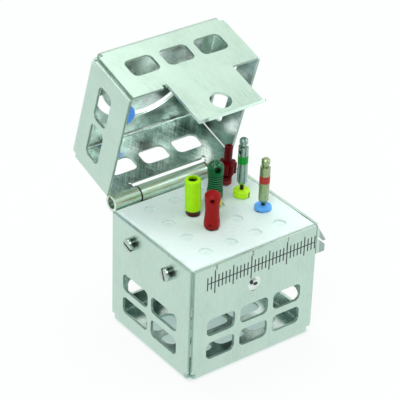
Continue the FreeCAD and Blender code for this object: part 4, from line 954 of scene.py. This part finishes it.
def lay_floor(scene):
    """A white floor that keeps a faint shadow, with painted shade under the box."""
    far = 1.5
    mesh = bpy.data.meshes.new("floor")
    mesh.from_pydata([(-far, -far, 0), (far, -far, 0), (far, far, 0), (-far, far, 0)],
                     [], [(0, 1, 2, 3)])
    floor = bpy.data.objects.new("floor", mesh)
    material = new_material("floor_white")
    tree = Tree(material)
    matt = tree.node("ShaderNodeBsdfDiffuse", None, {"Color": (0.62, 0.76, 0.76, 1)})
    # Under the box the paper lies in the box's own shade
    steel = scene.filebox_steel
    x, y, _ = tree.split(tree.place())
    under = (((steel.width / MM / 2 - x.size()) * 0.5).clamped()
             * ((steel.depth / MM / 2 - y.size()) * 0.5).clamped())
    lift = 0.9 - under * 0.5
    paper = tree.mix(under * 0.8, (1, 1, 1, 1), (0.62, 0.88, 0.80, 1))
    clean = tree.node("ShaderNodeEmission", None, {"Color": paper, "Strength": 1.0})
    both = tree.node("ShaderNodeMixShader", None,
                     {0: tree.looked_at() * lift, 1: matt, 2: clean})
    tree.node("ShaderNodeOutputMaterial", None, [both])
    mesh.materials.append(material)
    scene.collection.objects.link(floor)


OPERATORS = (FILEBOX_OT_sheet, FILEBOX_OT_fittings, FILEBOX_OT_ruler, FILEBOX_OT_soft,
             FILEBOX_OT_files, FILEBOX_OT_drills, FILEBOX_OT_studio)


class FILEBOX_PT_panel(bpy.types.Panel):
    """Buttons for every piece, in the order in which they are made"""

    bl_idname = "FILEBOX_PT_panel"
    bl_label = "File Box"
    bl_space_type = "VIEW_3D"
    bl_region_type = "UI"
    bl_category = "File Box"

    def draw(self, context):
        for operator in OPERATORS:
            self.layout.operator(operator.bl_idname)


GROUPS = {
    "filebox_steel": SteelSettings, "filebox_ruler": RulerSettings, "filebox_soft": SoftSettings,
    "filebox_handles": HandleSettings, "filebox_studio": StudioSettings,
}
CLASSES = tuple(GROUPS.values()) + OPERATORS + (FILEBOX_PT_panel,)


def register():
    for item in CLASSES:
        bpy.utils.register_class(item)
    for name, group in GROUPS.items():
        setattr(bpy.types.Scene, name, bpy.props.PointerProperty(type=group))


def unregister():
    for name in GROUPS:
        delattr(bpy.types.Scene, name)
    for item in reversed(CLASSES):
        bpy.utils.unregister_class(item)


def main():
    register()
    bpy.ops.filebox.sheet()
    bpy.ops.filebox.fittings()
    bpy.ops.filebox.ruler()
    bpy.ops.filebox.soft()
    bpy.ops.filebox.files()
    bpy.ops.filebox.drills()
    bpy.ops.filebox.studio()


if __name__ == "__main__":
    main()
